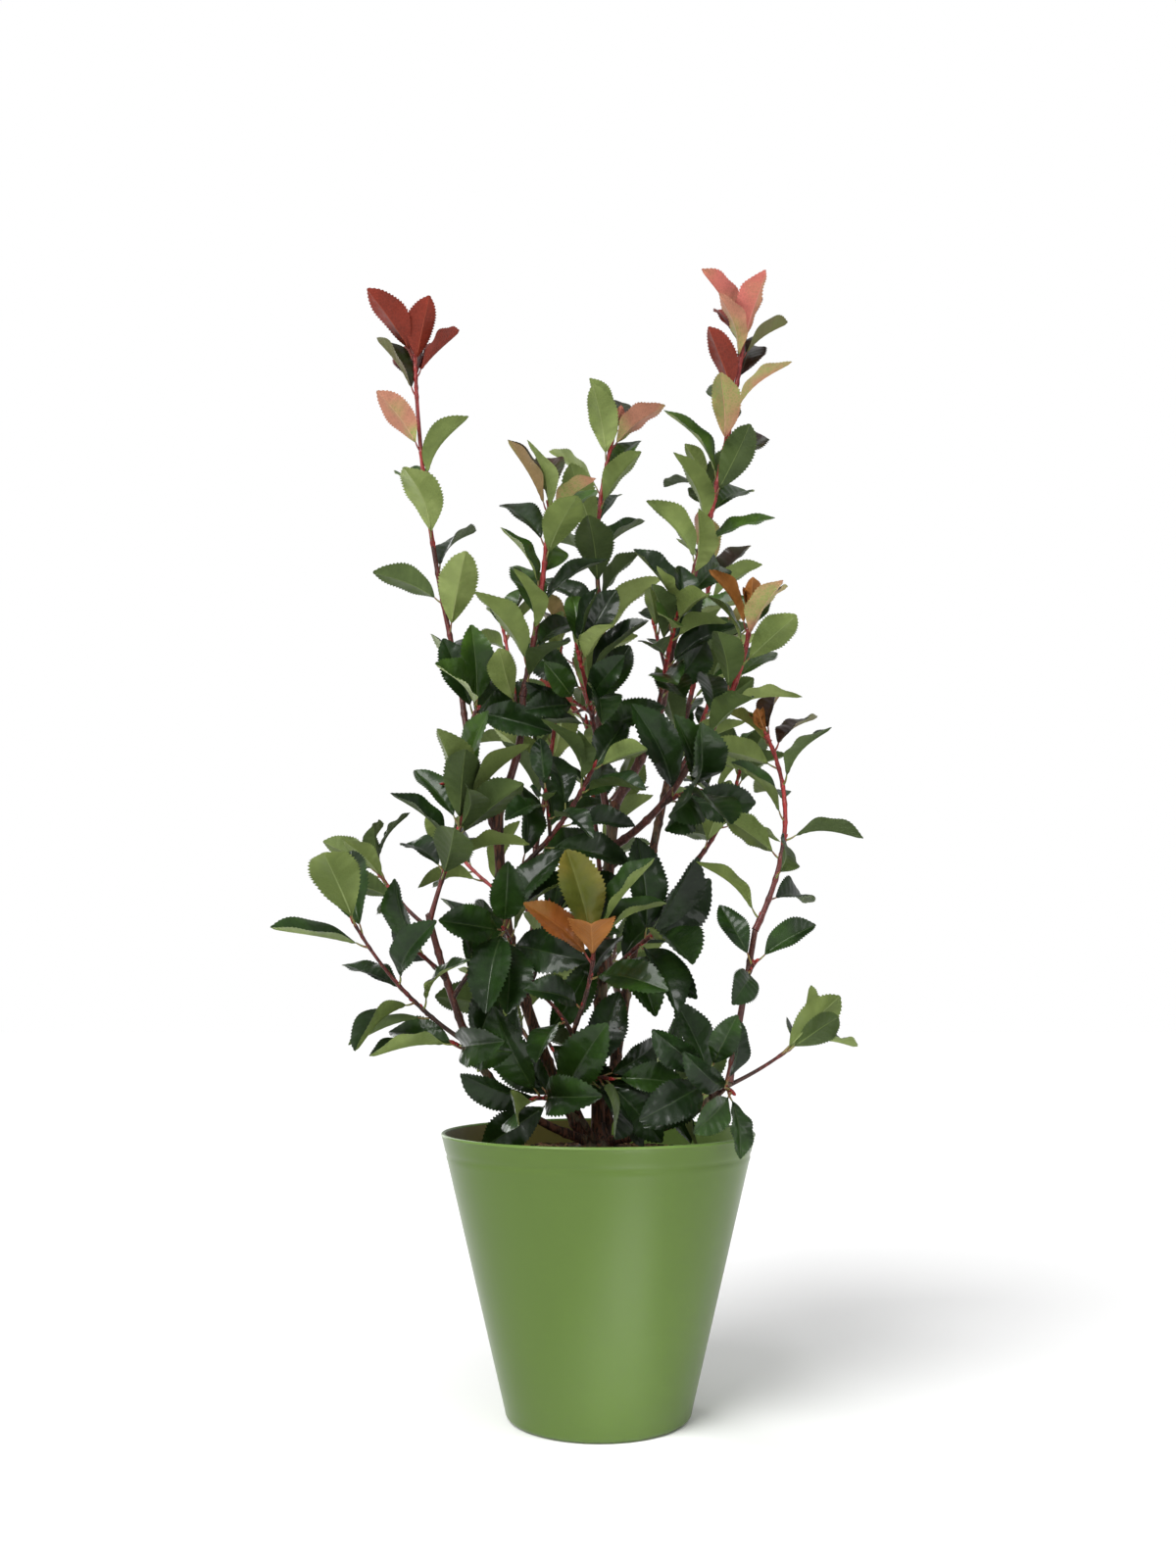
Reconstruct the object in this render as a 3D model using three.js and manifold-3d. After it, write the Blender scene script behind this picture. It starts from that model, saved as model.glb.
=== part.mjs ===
// A red-tipped evergreen shrub with several stems, growing in a tapered round planter.
// Millimetres, +Z up. The origin is the centre of the planter's flat underside, and the
// plant's fullest face looks along -Y.
import * as THREE from "three";
import { mergeVertices } from "three/addons/utils/BufferGeometryUtils.js";
import Module from "manifold-3d";

const wasm = await Module();
wasm.setup();

// ---------------------------------------------------------------- driving dimensions

const GAP = 0.3; // clearance between one piece and the next

const POT = { height: 254, rimRadius: 150, footRadius: 85, wall: 4, floor: 5, footEdge: 6, segments: 36 };
const SOIL = { top: 228, mound: 4, moundRadius: 55 };
const GROUND = SOIL.top + SOIL.mound + GAP; // height of the flat cut under the trunk

const FLARE = { radius: 34, height: 30, lobes: 5, lobeDepth: 0.1, hollow: 2.2, steps: 4, segments: 15 };

const LEAF = {
  width: 0.48, // widest width over length
  petiole: 12, // from the stem's axis to the foot of the blade
  heel: 0.4, // the stalk starts this far behind the stem's axis
  stalkRadius: 0.6,
  fold: 0.26, // how deep the midrib lies under the edges, over half the width
  shorter: 0.25, // how much of its reach a leaf loses as it curls
  rings: [0.36, 0.74], // where its blade is ringed, from foot to tip
  spiral: 137.5, // degrees from one leaf to the next around its stem
};

// Ranges that each leaf's own numbers are drawn from: `stray` is the whole width in degrees
// of its stray around the stem, `scale` its length over the planned one
const ALONG = { stray: 24, rise: [-14, 2], scale: [0.88, 1.12], curl: [0.22, 0.46], roll: 110 };
const TUFT = {
  at: 0.985, step: 11, // the first one's place along the stem, and mm from one to the next
  stray: 30, rise: [20, 44], scale: [0.82, 1.14], curl: [0.06, 0.3], roll: 84,
};

// Side twigs of a mass: where they leave its stem, how long they are and what they bear
const SPRIG = { from: [0.25, 0.65], length: [44, 62], rise: 46, radius: [1.6, 1.3] };
const SPRIG_LEAVES = { turn: 90, leaves: 2, span: [0.3, 0.9], size: [58, 54], tuft: 2, tip: 50 };

// Clearances that a new leaf keeps, measured from sample points on its blade
const CLEAR = { otherLeaf: 9.5, ownLeaf: 6, stem: 4.5, pot: 6, soil: 6 };
const SAMPLE_ROWS = [0.06, 0.18, 0.3, 0.42, 0.54, 0.66, 0.78, 0.9, 1];
const SAMPLE_COLUMNS = [-1, -0.5, 0, 0.5, 1];
const FOOT_SAMPLES = 3 * SAMPLE_COLUMNS.length; // blades of one mass may meet at these
const HALF_SPAN = 0.56; // a blade lies within this share of its length around its middle
const STATION = 10; // distance between the points that stand for a stem

// A leaf that isn't clear is turned round its stem by these angles in turn, then left out
const TURNS = [0, 28, -28, 56, -56, 84, -84, 120, -120];

// Limbs. Each leaves its parent at the fraction `at` of the parent's length and reaches a
// tip `reach` away, with its middle pushed aside by `bow`. `radius` is at foot and tip.
const LIMBS = [
  { name: "trunk_centre", foot: [0, 0, GROUND + 2], reach: [18, 20, 343],
    bow: [-5, 0, 0], radius: [6.6, 5.6] },
  { name: "trunk_left", foot: [-12, 3, 246], reach: [-85, -33, 330],
    bow: [-24, -2, -6], radius: [5.8, 4.8] },
  { name: "stem_back", foot: [6, 12, 246], reach: [69, 68, 361],
    bow: [-4, 2, 0], radius: [5.6, 4] },
  { name: "stem_low_right", foot: [12, -9, 246], reach: [106, -71, 58],
    bow: [7, 0, -9], radius: [3.8, 3.3] },
  { name: "stem_low_left", foot: [-12, -9, 246], reach: [-111, -51, 99],
    bow: [-15, 0, -10], radius: [4, 3.5] },
  { name: "stem_front", foot: [-3, -13, 246], reach: [-18, -57, 109],
    bow: [-14, 0, 0], radius: [2.6, 2.2] },
  { name: "bough_left", on: "trunk_left", at: 0.88, reach: [-44, 38, 167],
    bow: [-6, 0, -3], radius: [3.5, 2.9] },
  { name: "bough_centre_left", on: "trunk_left", at: 0.97, reach: [23, -9, 108],
    bow: [7, 0, 0], radius: [4, 3.3] },
  { name: "bough_centre", on: "trunk_centre", at: 0.91, reach: [-3, 31, 193],
    bow: [-12, 0, 0], radius: [3.8, 3] },
  { name: "bough_right", on: "trunk_centre", at: 1, reach: [57, -20, 157],
    bow: [11, 0, -4], radius: [4.9, 4.2] },
  { name: "bough_right_low", on: "trunk_centre", at: 0.86, reach: [80, -65, 84],
    bow: [7, 1, -6], radius: [4, 3.2] },
  { name: "bough_far_right", on: "stem_low_right", at: 1, reach: [28, 10, 137],
    bow: [0, 0, 0], radius: [3.1, 2.7] },
  { name: "bough_far_left", on: "stem_low_left", at: 1, reach: [-37, 0, 112],
    bow: [-2, 0, 0], radius: [3.4, 3] },
  { name: "bough_back_left", on: "trunk_left", at: 0.45, reach: [8, 105, 150],
    bow: [4, 14, -12], radius: [3.6, 2.9] },
  { name: "bough_back", on: "stem_back", at: 0.35, reach: [-22, 95, 130],
    bow: [-4, 14, -12], radius: [3.6, 2.9] },
  { name: "bough_back_right", on: "stem_back", at: 0.52, reach: [72, 72, 96],
    bow: [8, 8, -12], radius: [3.4, 2.7] },
];

// Leafy shoots, each one mass of foliage. `leaves` stand within `span` of the stem, `size`
// is their length and `rise` their angle from the stem, at foot and tip, and `turn` is the
// first one's direction around the stem. `tuft` leaves of length `tip` stand round its end.
const SHOOTS = [
  { name: "spire_left", on: "bough_left", at: 1, reach: [-58, 15, 372], bow: [-9, 0, -2],
    radius: [2.7, 2], leaves: 8, span: [0, 0.74], turn: 230, size: [78, 72], rise: [40, 30],
    tuft: 5, tip: 82, seed: 401 },
  { name: "spire_right", on: "bough_right", at: 1, reach: [81, -20, 346], bow: [9, 0, -2],
    radius: [3.9, 2.2], leaves: 18, span: [0.02, 0.95], turn: 100, size: [84, 70], rise: [44, 30],
    tuft: 4, tip: 82, sprigs: 1, seed: 640 },
  { name: "spire_centre", on: "bough_centre", at: 1, reach: [9, 10, 262], bow: [-16, 0, 0],
    radius: [2.8, 1.9], leaves: 13, span: [0.03, 0.95], turn: 100, size: [82, 68], rise: [42, 30],
    tuft: 3, tip: 70, seed: 696 },
  { name: "spire_centre_left", on: "bough_centre_left", at: 1, reach: [26, -20, 196], bow: [4, 0, 0],
    radius: [3, 2.1], leaves: 12, span: [0.02, 0.95], turn: 100, size: [82, 66], rise: [44, 32],
    tuft: 3, tip: 64, seed: 235 },
  { name: "shoot_right", on: "bough_right_low", at: 1, reach: [54, -30, 126], bow: [10, 0, -3],
    radius: [3, 1.9], leaves: 8, span: [0.05, 0.95], turn: 40, size: [78, 58], rise: [50, 36],
    tuft: 3, tip: 62, seed: 643 },
  { name: "shoot_far_right", on: "bough_far_right", at: 1, reach: [18, 20, 190], bow: [23, 0, 4],
    radius: [2.6, 1.8], leaves: 10, span: [0, 0.95], turn: 330, size: [72, 66], rise: [64, 50],
    tuft: 2, tip: 50, seed: 730 },
  { name: "shoot_left", on: "bough_far_left", at: 0.95, reach: [32, 10, 110], bow: [-1, 0, 0],
    radius: [2.4, 1.8], leaves: 8, span: [0.3, 0.94], turn: 50, size: [76, 78], rise: [66, 56],
    tuft: 4, tip: 82, seed: 144 },
  { name: "shoot_far_left_low", on: "stem_low_left", at: 0.94, reach: [-99, -60, 107], bow: [-6, 0, -7],
    radius: [2.1, 1.4], leaves: 5, span: [0.25, 0.6], turn: 310, size: [72, 74], rise: [60, 60],
    tuft: 3, tip: 84, seed: 527 },
  { name: "shoot_far_left", on: "bough_far_left", at: 0.86, reach: [-70, 60, 76], bow: [-4, 0, -4],
    radius: [2, 1.5], leaves: 5, span: [0.35, 0.95], turn: 0, size: [58, 56], rise: [60, 50],
    tuft: 4, tip: 52, seed: 979 },
  { name: "shoot_right_tip", on: "stem_low_right", at: 0.95, reach: [74, 30, 40], bow: [0, 0, -3],
    radius: [1.9, 1.4], leaves: 2, span: [0.75, 0.9], turn: 40, size: [62, 62], rise: [50, 50],
    tuft: 3, tip: 64, seed: 728 },
  { name: "shoot_bronze", on: "stem_front", at: 1, reach: [17, -40, 78], bow: [4, 0, 0],
    radius: [2, 1.6], leaves: 5, span: [0.1, 0.95], turn: 10, size: [70, 70], rise: [60, 50],
    tuft: 3, tip: 76, seed: 939 },
  { name: "shoot_rim_left", on: "stem_front", at: 0.24, reach: [-40, -34, 16], bow: [0, 0, 5],
    radius: [1.9, 1.5], leaves: 6, span: [0.3, 0.95], turn: 320, size: [84, 80], rise: [66, 60],
    tuft: 2, tip: 84, seed: 805 },
  { name: "shoot_rim_right", on: "stem_low_right", at: 0.9, reach: [8, -34, 2], bow: [0, 0, 3],
    radius: [1.8, 1.5], leaves: 3, span: [0.3, 0.95], turn: 200, size: [60, 58], rise: [70, 60],
    tuft: 1, tip: 60, seed: 325 },
  { name: "shoot_front_right", on: "trunk_centre", at: 0.46, reach: [46, -66, 44], bow: [0, 0, 4],
    radius: [2.4, 1.8], leaves: 6, span: [0.25, 0.95], turn: 230, size: [90, 84], rise: [62, 50],
    tuft: 2, tip: 86, seed: 168 },
  { name: "shoot_front_left", on: "trunk_left", at: 0.55, reach: [-6, -52, 22], bow: [0, 0, 4],
    radius: [2.2, 1.7], leaves: 6, span: [0.2, 0.95], turn: 10, size: [84, 78], rise: [64, 52],
    tuft: 2, tip: 74, seed: 896 },
  { name: "shoot_mid_right", on: "bough_right_low", at: 0.5, reach: [34, -36, 12], bow: [0, 0, 3],
    radius: [2.2, 1.7], leaves: 5, span: [0.2, 0.95], turn: 60, size: [86, 84], rise: [62, 50],
    tuft: 2, tip: 90, seed: 956 },
  { name: "shoot_low_right", on: "stem_low_right", at: 0.82, reach: [-6, -46, 26], bow: [0, -4, 4],
    radius: [2.2, 1.7], leaves: 5, span: [0.12, 0.95], turn: 350, size: [70, 64], rise: [66, 44],
    tuft: 2, tip: 60, seed: 811 },
  { name: "shoot_low_front", on: "stem_front", at: 0.45, reach: [34, -36, 12], bow: [0, 0, 4],
    radius: [1.9, 1.5], leaves: 6, span: [0.2, 0.95], turn: 10, size: [72, 68], rise: [66, 56],
    tuft: 2, tip: 70, seed: 310 },
  { name: "shoot_low_left", on: "stem_low_left", at: 0.78, reach: [-22, -30, 22], bow: [0, 0, 2],
    radius: [2.1, 1.6], leaves: 4, span: [0.2, 0.95], turn: 210, size: [78, 72], rise: [66, 56],
    tuft: 1, tip: 76, seed: 927 },
  { name: "shoot_mid_left", on: "bough_far_left", at: 0.45, reach: [-26, -28, 26], bow: [0, 0, 2],
    radius: [2.2, 1.7], leaves: 2, span: [0.2, 0.95], turn: 260, size: [74, 70], rise: [66, 54],
    tuft: 2, tip: 72, seed: 385 },
  { name: "shoot_outer_left", on: "bough_left", at: 0.26, reach: [-34, -24, 10], bow: [0, 0, 3],
    radius: [2.1, 1.6], leaves: 2, span: [0.2, 0.95], turn: 130, size: [76, 72], rise: [60, 48],
    tuft: 2, tip: 74, seed: 830 },
  { name: "shoot_low_centre", on: "trunk_left", at: 0.3, reach: [14, -46, -6], bow: [0, 0, 4],
    radius: [2.1, 1.6], leaves: 6, span: [0.2, 0.95], turn: 60, size: [76, 70], rise: [66, 54],
    tuft: 2, tip: 72, seed: 424 },
  { name: "shoot_front_centre", on: "stem_front", at: 0.92, reach: [-26, -26, 34], bow: [0, 0, 3],
    radius: [1.9, 1.5], leaves: 5, span: [0.2, 0.95], turn: 120, size: [74, 70], rise: [62, 50],
    tuft: 2, tip: 72, seed: 960 },
  { name: "shoot_inner_spire", on: "bough_left", at: 0.66, reach: [12, -26, 22], bow: [0, 0, 4],
    radius: [2, 1.6], leaves: 5, span: [0.2, 0.95], turn: 200, size: [76, 72], rise: [60, 48],
    tuft: 1, tip: 70, seed: 83 },
  { name: "shoot_diagonal", on: "trunk_left", at: 0.75, reach: [89, -50, 106], bow: [7, 0, -5],
    radius: [2.6, 1.9], leaves: 9, span: [0.14, 0.95], turn: 320, size: [74, 68], rise: [62, 48],
    tuft: 3, tip: 60, sprigs: 1, seed: 731 },
  { name: "shoot_inner_left", on: "trunk_left", at: 0.42, reach: [24, -40, 86], bow: [4, 0, -1],
    radius: [2, 1.5], leaves: 5, span: [0.2, 0.95], turn: 290, size: [76, 70], rise: [62, 50],
    tuft: 2, tip: 60, seed: 936 },
  { name: "shoot_inner_far_left", on: "bough_far_left", at: 0.3, reach: [34, -16, 46], bow: [0, 0, 2],
    radius: [2.1, 1.6], leaves: 7, span: [0.2, 0.95], turn: 350, size: [78, 72], rise: [62, 50],
    tuft: 2, tip: 60, seed: 634 },
  { name: "shoot_mid_far_right", on: "bough_far_right", at: 0.66, reach: [6, -16, 16], bow: [0, 0, 2],
    radius: [1.9, 1.5], leaves: 2, span: [0.3, 0.9], turn: 40, size: [64, 60], rise: [80, 66],
    tuft: 1, tip: 56, seed: 448 },
  { name: "shoot_small_left", on: "bough_centre_left", at: 0.6, reach: [-20, 28, 122], bow: [2, 0, 0],
    radius: [1.9, 1.5], leaves: 6, span: [0.2, 0.95], turn: 90, size: [62, 54], rise: [54, 42],
    tuft: 2, tip: 60, seed: 677 },
  { name: "shoot_centre_front", on: "bough_centre", at: 0.4, reach: [-22, -86, 92], bow: [0, -10, 6],
    radius: [2.4, 1.8], leaves: 9, span: [0.12, 0.95], turn: 100, size: [80, 68], rise: [62, 46],
    tuft: 3, tip: 60, sprigs: 1, seed: 115 },
  { name: "shoot_right_front", on: "bough_right", at: 0.55, reach: [16, -80, 84], bow: [0, -8, 6],
    radius: [2.3, 1.7], leaves: 9, span: [0.12, 0.95], turn: 200, size: [80, 66], rise: [60, 46],
    tuft: 3, tip: 60, sprigs: 1, seed: 640 },
  { name: "spire_back", on: "stem_back", at: 1, reach: [51, 10, 247], bow: [7, 0, -1],
    radius: [3.2, 2], leaves: 10, span: [0.03, 0.95], turn: 140, size: [78, 62], rise: [46, 32],
    tuft: 3, tip: 66, seed: 727 },
  { name: "shoot_back_right", on: "stem_back", at: 0.94, reach: [75, 50, 192], bow: [7, 0, -3],
    radius: [2.6, 1.7], leaves: 9, span: [0.12, 0.95], turn: 300, size: [74, 60], rise: [48, 34],
    tuft: 3, tip: 60, seed: 843 },
  { name: "shoot_low_middle", on: "stem_back", at: 0.14, reach: [38, -30, 8], bow: [0, 0, -4],
    radius: [2, 1.6], leaves: 2, span: [0.2, 0.95], turn: 100, size: [72, 68], rise: [64, 52],
    tuft: 1, tip: 60, seed: 808 },
  { name: "shoot_centre_back", on: "bough_centre", at: 0.5, reach: [-26, 84, 108], bow: [0, 10, 6],
    radius: [2.4, 1.8], leaves: 4, span: [0.12, 0.95], turn: 190, size: [80, 66], rise: [60, 46],
    tuft: 3, tip: 60, sprigs: 1, seed: 166 },
  { name: "spire_back_left", on: "bough_back_left", at: 1, reach: [26, 26, 236], bow: [4, 6, 0],
    radius: [2.7, 1.9], leaves: 9, span: [0.03, 0.95], turn: 130, size: [80, 62], rise: [46, 32],
    tuft: 3, tip: 64, sprigs: 1, seed: 123 },
  { name: "spire_back_centre", on: "bough_back", at: 1, reach: [-16, 44, 196], bow: [0, 6, 0],
    radius: [2.7, 1.9], leaves: 8, span: [0.03, 0.95], turn: 170, size: [80, 62], rise: [46, 32],
    tuft: 3, tip: 64, sprigs: 1, seed: 483 },
  { name: "shoot_back_far_left", on: "bough_back_left", at: 0.6, reach: [-84, 56, 66], bow: [0, 0, -6],
    radius: [2.2, 1.6], leaves: 4, span: [0.15, 0.95], turn: 250, size: [78, 66], rise: [60, 48],
    tuft: 3, tip: 60, seed: 786 },
  { name: "shoot_back_far_right", on: "bough_back_right", at: 1, reach: [56, 48, 116], bow: [6, 6, -4],
    radius: [2.5, 1.7], leaves: 7, span: [0.04, 0.95], turn: 50, size: [78, 62], rise: [58, 42],
    tuft: 3, tip: 60, sprigs: 1, seed: 972 },
  { name: "shoot_back_low", on: "bough_back", at: 0.42, reach: [8, 88, 26], bow: [0, 0, -6],
    radius: [2.2, 1.6], leaves: 7, span: [0.15, 0.95], turn: 70, size: [78, 68], rise: [62, 50],
    tuft: 3, tip: 60, seed: 264 },
  { name: "shoot_back_low_right", on: "stem_back", at: 0.14, reach: [72, 100, -12], bow: [0, 0, -6],
    radius: [2.3, 1.6], leaves: 4, span: [0.2, 0.95], turn: 10, size: [76, 66], rise: [62, 50],
    tuft: 2, tip: 60, seed: 97 },
  { name: "shoot_back_low_left", on: "trunk_left", at: 0.24, reach: [-52, 92, 72], bow: [0, 0, -8],
    radius: [2.3, 1.6], leaves: 7, span: [0.2, 0.95], turn: 170, size: [76, 66], rise: [62, 50],
    tuft: 3, tip: 60, seed: 145 },
];

// ---------------------------------------------------------------- finishes

const finish = (color, roughness) => new THREE.MeshStandardMaterial({ color, roughness, metalness: 0 });
const FINISH = {
  pot: finish(0x739a4c, 0.45),
  soil: finish(0x43352a, 0.95),
  bark: finish(0x5a3d2e, 0.8),
  foliage: finish(0x2f4a28, 0.5),
};

// ---------------------------------------------------------------- helpers

const SIDEWAYS = 0.93; // share of X in a direction from which it counts as along X
const { degToRad, lerp } = THREE.MathUtils;
const between = ([low, high], random) => lerp(low, high, random());
const stray = (width, random) => width * (random() - 0.5);
const vector = (xyz) => new THREE.Vector3(...xyz);
const OUT = new THREE.Vector3(1, 0, 0);
const UP = new THREE.Vector3(0, 0, 1);

// Repeatable numbers from 0 to 1
function seeded(seed) {
  let state = seed;
  return () => {
    state = (state * 1664525 + 1013904223) % 4294967296;
    return state / 4294967296;
  };
}

// A closed geometry as a solid, with shared vertices merged and empty triangles dropped
function solidOf(geometry) {
  geometry.deleteAttribute("normal");
  geometry.deleteAttribute("uv");
  const merged = mergeVertices(geometry, 1e-4);
  const corners = merged.index.array;
  const kept = [];
  for (let i = 0; i < corners.length; i += 3) {
    const [a, b, c] = [corners[i], corners[i + 1], corners[i + 2]];
    if (a !== b && b !== c && c !== a) kept.push(a, b, c);
  }
  return new wasm.Manifold(new wasm.Mesh({
    numProp: 3,
    vertProperties: merged.attributes.position.array,
    triVerts: new Uint32Array(kept),
  }));
}

function meshOf(name, solid, material) {
  const { vertProperties, triVerts } = solid.getMesh();
  const geometry = new THREE.BufferGeometry();
  geometry.setAttribute("position", new THREE.BufferAttribute(vertProperties, 3));
  geometry.setIndex(new THREE.BufferAttribute(triVerts, 1));
  geometry.computeVertexNormals();
  const mesh = new THREE.Mesh(geometry, material);
  mesh.name = name;
  return mesh;
}

// A profile of [radius, height] pairs turned about the Z axis
function turned(profile, segments) {
  const points = profile.map(([r, z]) => new THREE.Vector2(r, z));
  return new THREE.LatheGeometry(points, segments).rotateX(Math.PI / 2);
}

// Points on a quarter round from one angle to another, in degrees
function arc(centreR, centreZ, radius, from, to, steps) {
  return Array.from({ length: steps + 1 }, (_, i) => {
    const angle = degToRad(lerp(from, to, i / steps));
    return [centreR + radius * Math.cos(angle), centreZ + radius * Math.sin(angle)];
  });
}

// ---------------------------------------------------------------- planter and compost

const potSlope = (POT.rimRadius - POT.footRadius) / POT.height;
const potRadius = (z) => POT.footRadius + potSlope * z;

function potSolid() {
  const rim = POT.wall / 2;
  const edge = POT.footEdge;
  const inner = (z) => potRadius(z) - POT.wall;
  return solidOf(turned([
    [0, 0],
    ...arc(potRadius(edge) - edge, edge, edge, -90, 0, 2),
    ...arc(POT.rimRadius - rim, POT.height - rim, rim, 0, 180, 4),
    [inner(POT.floor), POT.floor],
    [0, POT.floor],
  ], POT.segments));
}

function soilSolid() {
  const low = POT.floor + GAP;
  const edge = (z) => potRadius(z) - POT.wall - GAP;
  return solidOf(turned([
    [0, low],
    [edge(low), low],
    [edge(SOIL.top), SOIL.top],
    [SOIL.moundRadius, SOIL.top + SOIL.mound],
    [0, SOIL.top + SOIL.mound],
  ], POT.segments));
}

// ---------------------------------------------------------------- limbs

class Limb {
  constructor({ start, reach, bow, radius }) {
    this.start = start;
    this.reach = vector(reach);
    this.bow = vector(bow);
    this.radii = radius;
  }

  point(t) {
    return this.start.clone().addScaledVector(this.reach, t).addScaledVector(this.bow, 4 * t * (1 - t));
  }

  tangent(t) {
    return this.reach.clone().addScaledVector(this.bow, 4 * (1 - 2 * t)).normalize();
  }

  radius(t) {
    return lerp(this.radii[0], this.radii[1], t);
  }

  // Two directions square to the limb: the first is the one nearest to +X, or to +Z
  // where the limb itself runs along X
  frame(t) {
    const along = this.tangent(t);
    const base = Math.abs(along.x) < SIDEWAYS ? OUT : UP;
    const right = base.clone().addScaledVector(along, -base.dot(along)).normalize();
    return { along, right, back: along.clone().cross(right) };
  }

  // Direction at `rise` degrees from the limb and `turn` degrees around it
  heading(t, turn, rise) {
    const { along, right, back } = this.frame(t);
    const aside = right.multiplyScalar(Math.cos(degToRad(turn)));
    aside.addScaledVector(back, Math.sin(degToRad(turn)));
    return along.multiplyScalar(Math.cos(degToRad(rise))).addScaledVector(aside, Math.sin(degToRad(rise)));
  }

  // A tapered tube around the limb's line, `grown` wider all round and past its tip
  solid(sides, rings, grown = 0) {
    const tube = new THREE.CylinderGeometry(1, 1, 1, sides, rings);
    const spot = tube.attributes.position;
    for (let i = 0; i < spot.count; i += 1) {
      const t = spot.getY(i) + 0.5;
      const { along, right, back } = this.frame(t);
      const r = this.radius(t) + grown;
      const place = this.point(t).addScaledVector(back, r * spot.getX(i));
      place.addScaledVector(right, r * spot.getZ(i));
      if (Math.round(t * rings) === rings) place.addScaledVector(along, grown);
      spot.setXYZ(i, place.x, place.y, place.z);
    }
    return solidOf(tube);
  }

  // Points along the limb about every `step` mm, with its radius there
  stations(step) {
    const count = Math.max(2, Math.round(this.reach.length() / step));
    return Array.from({ length: count + 1 }, (_, i) => ({
      place: this.point(i / count), radius: this.radius(i / count),
    }));
  }
}

const limbs = new Map();
const shoots = new Map();

function footOf(plan) {
  if (plan.foot) return vector(plan.foot);
  const parent = limbs.get(plan.on);
  if (plan.at < 1) return parent.point(plan.at);
  return parent.point(1).addScaledVector(vector(plan.reach).normalize(), GAP);
}

for (const plan of LIMBS) limbs.set(plan.name, new Limb({ ...plan, start: footOf(plan) }));
for (const plan of SHOOTS) shoots.set(plan.name, new Limb({ ...plan, start: footOf(plan) }));

const LIMB_SIDES = 6;
const STEM_SIDES = 3;
const BEND = 0.4; // furthest that a limb's straight lengths lie from its curve

const ringsOf = (limb) => Math.max(1, Math.ceil(Math.sqrt(limb.bow.length() / BEND)));

// The low lobed swelling that all the stems rise from, flat where it meets the ground
function flareSolid(grown) {
  const { radius, height, lobes, lobeDepth, hollow, steps, segments } = FLARE;
  const slimmest = limbs.get("trunk_centre").radii[0];
  const profile = [[0, 0]];
  for (let i = 0; i <= steps; i += 1) {
    const up = i / steps;
    profile.push([lerp(slimmest, radius, (1 - up) ** hollow) + grown, height * up + (i ? grown : 0)]);
  }
  profile.push([0, height + grown]);
  const shape = turned(profile, segments);
  const spot = shape.attributes.position;
  for (let i = 0; i < spot.count; i += 1) {
    const swell = 1 + lobeDepth * Math.cos(lobes * Math.atan2(spot.getY(i), spot.getX(i)));
    spot.setXYZ(i, spot.getX(i) * swell, spot.getY(i) * swell, spot.getZ(i) + GROUND);
  }
  return solidOf(shape);
}

function limbSolid(name, grown = 0) {
  const limb = limbs.get(name);
  const tube = limb.solid(LIMB_SIDES, ringsOf(limb), grown);
  return name === "trunk_centre" ? tube.add(flareSolid(grown)) : tube;
}

// A piece is cut back so that it stays a gap away from the limb that carries it
const cutBack = (solid, parentName) => solid.subtract(limbSolid(parentName, GAP));

// ---------------------------------------------------------------- leaves

// A leaf: `root` on its stem's axis, `aim` along it, `face` out of its upper side
class Leaf {
  constructor(root, aim, face, length, curl) {
    this.root = root;
    this.aim = aim;
    this.face = face;
    this.side = face.clone().cross(aim);
    this.length = length;
    this.curl = curl;
  }

  // Place on the blade: s from its foot to its tip, across from -1 to 1
  place(s, across) {
    const half = this.length * LEAF.width * 0.5 * Leaf.outline(s);
    const drop = this.length * this.curl * s * s + LEAF.fold * half * (1 - Math.abs(across));
    return this.root.clone()
      .addScaledVector(this.aim, LEAF.petiole + this.length * s * (1 - LEAF.shorter * this.curl * s))
      .addScaledVector(this.face, -drop)
      .addScaledVector(this.side, half * across);
  }

  // Half width over the widest, along the blade
  static outline(s) {
    return Math.sin(Math.PI * s ** 1.15) ** 0.75;
  }

  samples() {
    return SAMPLE_ROWS.flatMap((s) => SAMPLE_COLUMNS.map((across) => this.place(s, across)));
  }

  // Three-cornered rings from the stem's axis to the tip: one on the axis and two across
  // the blade; the corners are its left edge, its midrib and its right edge
  solid() {
    const corners = 3;
    const stalk = [30, 270, 150].map((degrees) => this.root.clone()
      .addScaledVector(this.side, LEAF.stalkRadius * Math.cos(degToRad(degrees)))
      .addScaledVector(this.face, LEAF.stalkRadius * Math.sin(degToRad(degrees))));
    const blade = (s) => [1, 0, -1].map((across) => this.place(s, across));
    const point = (place) => Array(corners).fill(place);
    const heel = this.root.clone().addScaledVector(this.aim, -LEAF.heel);
    const rings = [point(heel), stalk, ...LEAF.rings.map(blade), point(this.place(1, 0))];
    const shape = new THREE.SphereGeometry(1, corners, rings.length - 1);
    const spot = shape.attributes.position;
    rings.forEach((ring, row) => {
      for (let i = 0; i <= corners; i += 1) {
        const { x, y, z } = ring[i % corners];
        spot.setXYZ(row * (corners + 1) + i, x, y, z);
      }
    });
    return solidOf(shape);
  }
}

// ---------------------------------------------------------------- growth

const standing = []; // every leaf so far: { mass, points, centre, span }
const woody = []; // every station of every limb and twig: { owner, place, radius }

const addWood = (owner, limb) => woody.push(...limb.stations(STATION).map((spot) => ({ owner, ...spot })));
for (const [owner, limb] of [...limbs, ...shoots]) addWood(owner, limb);

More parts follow.
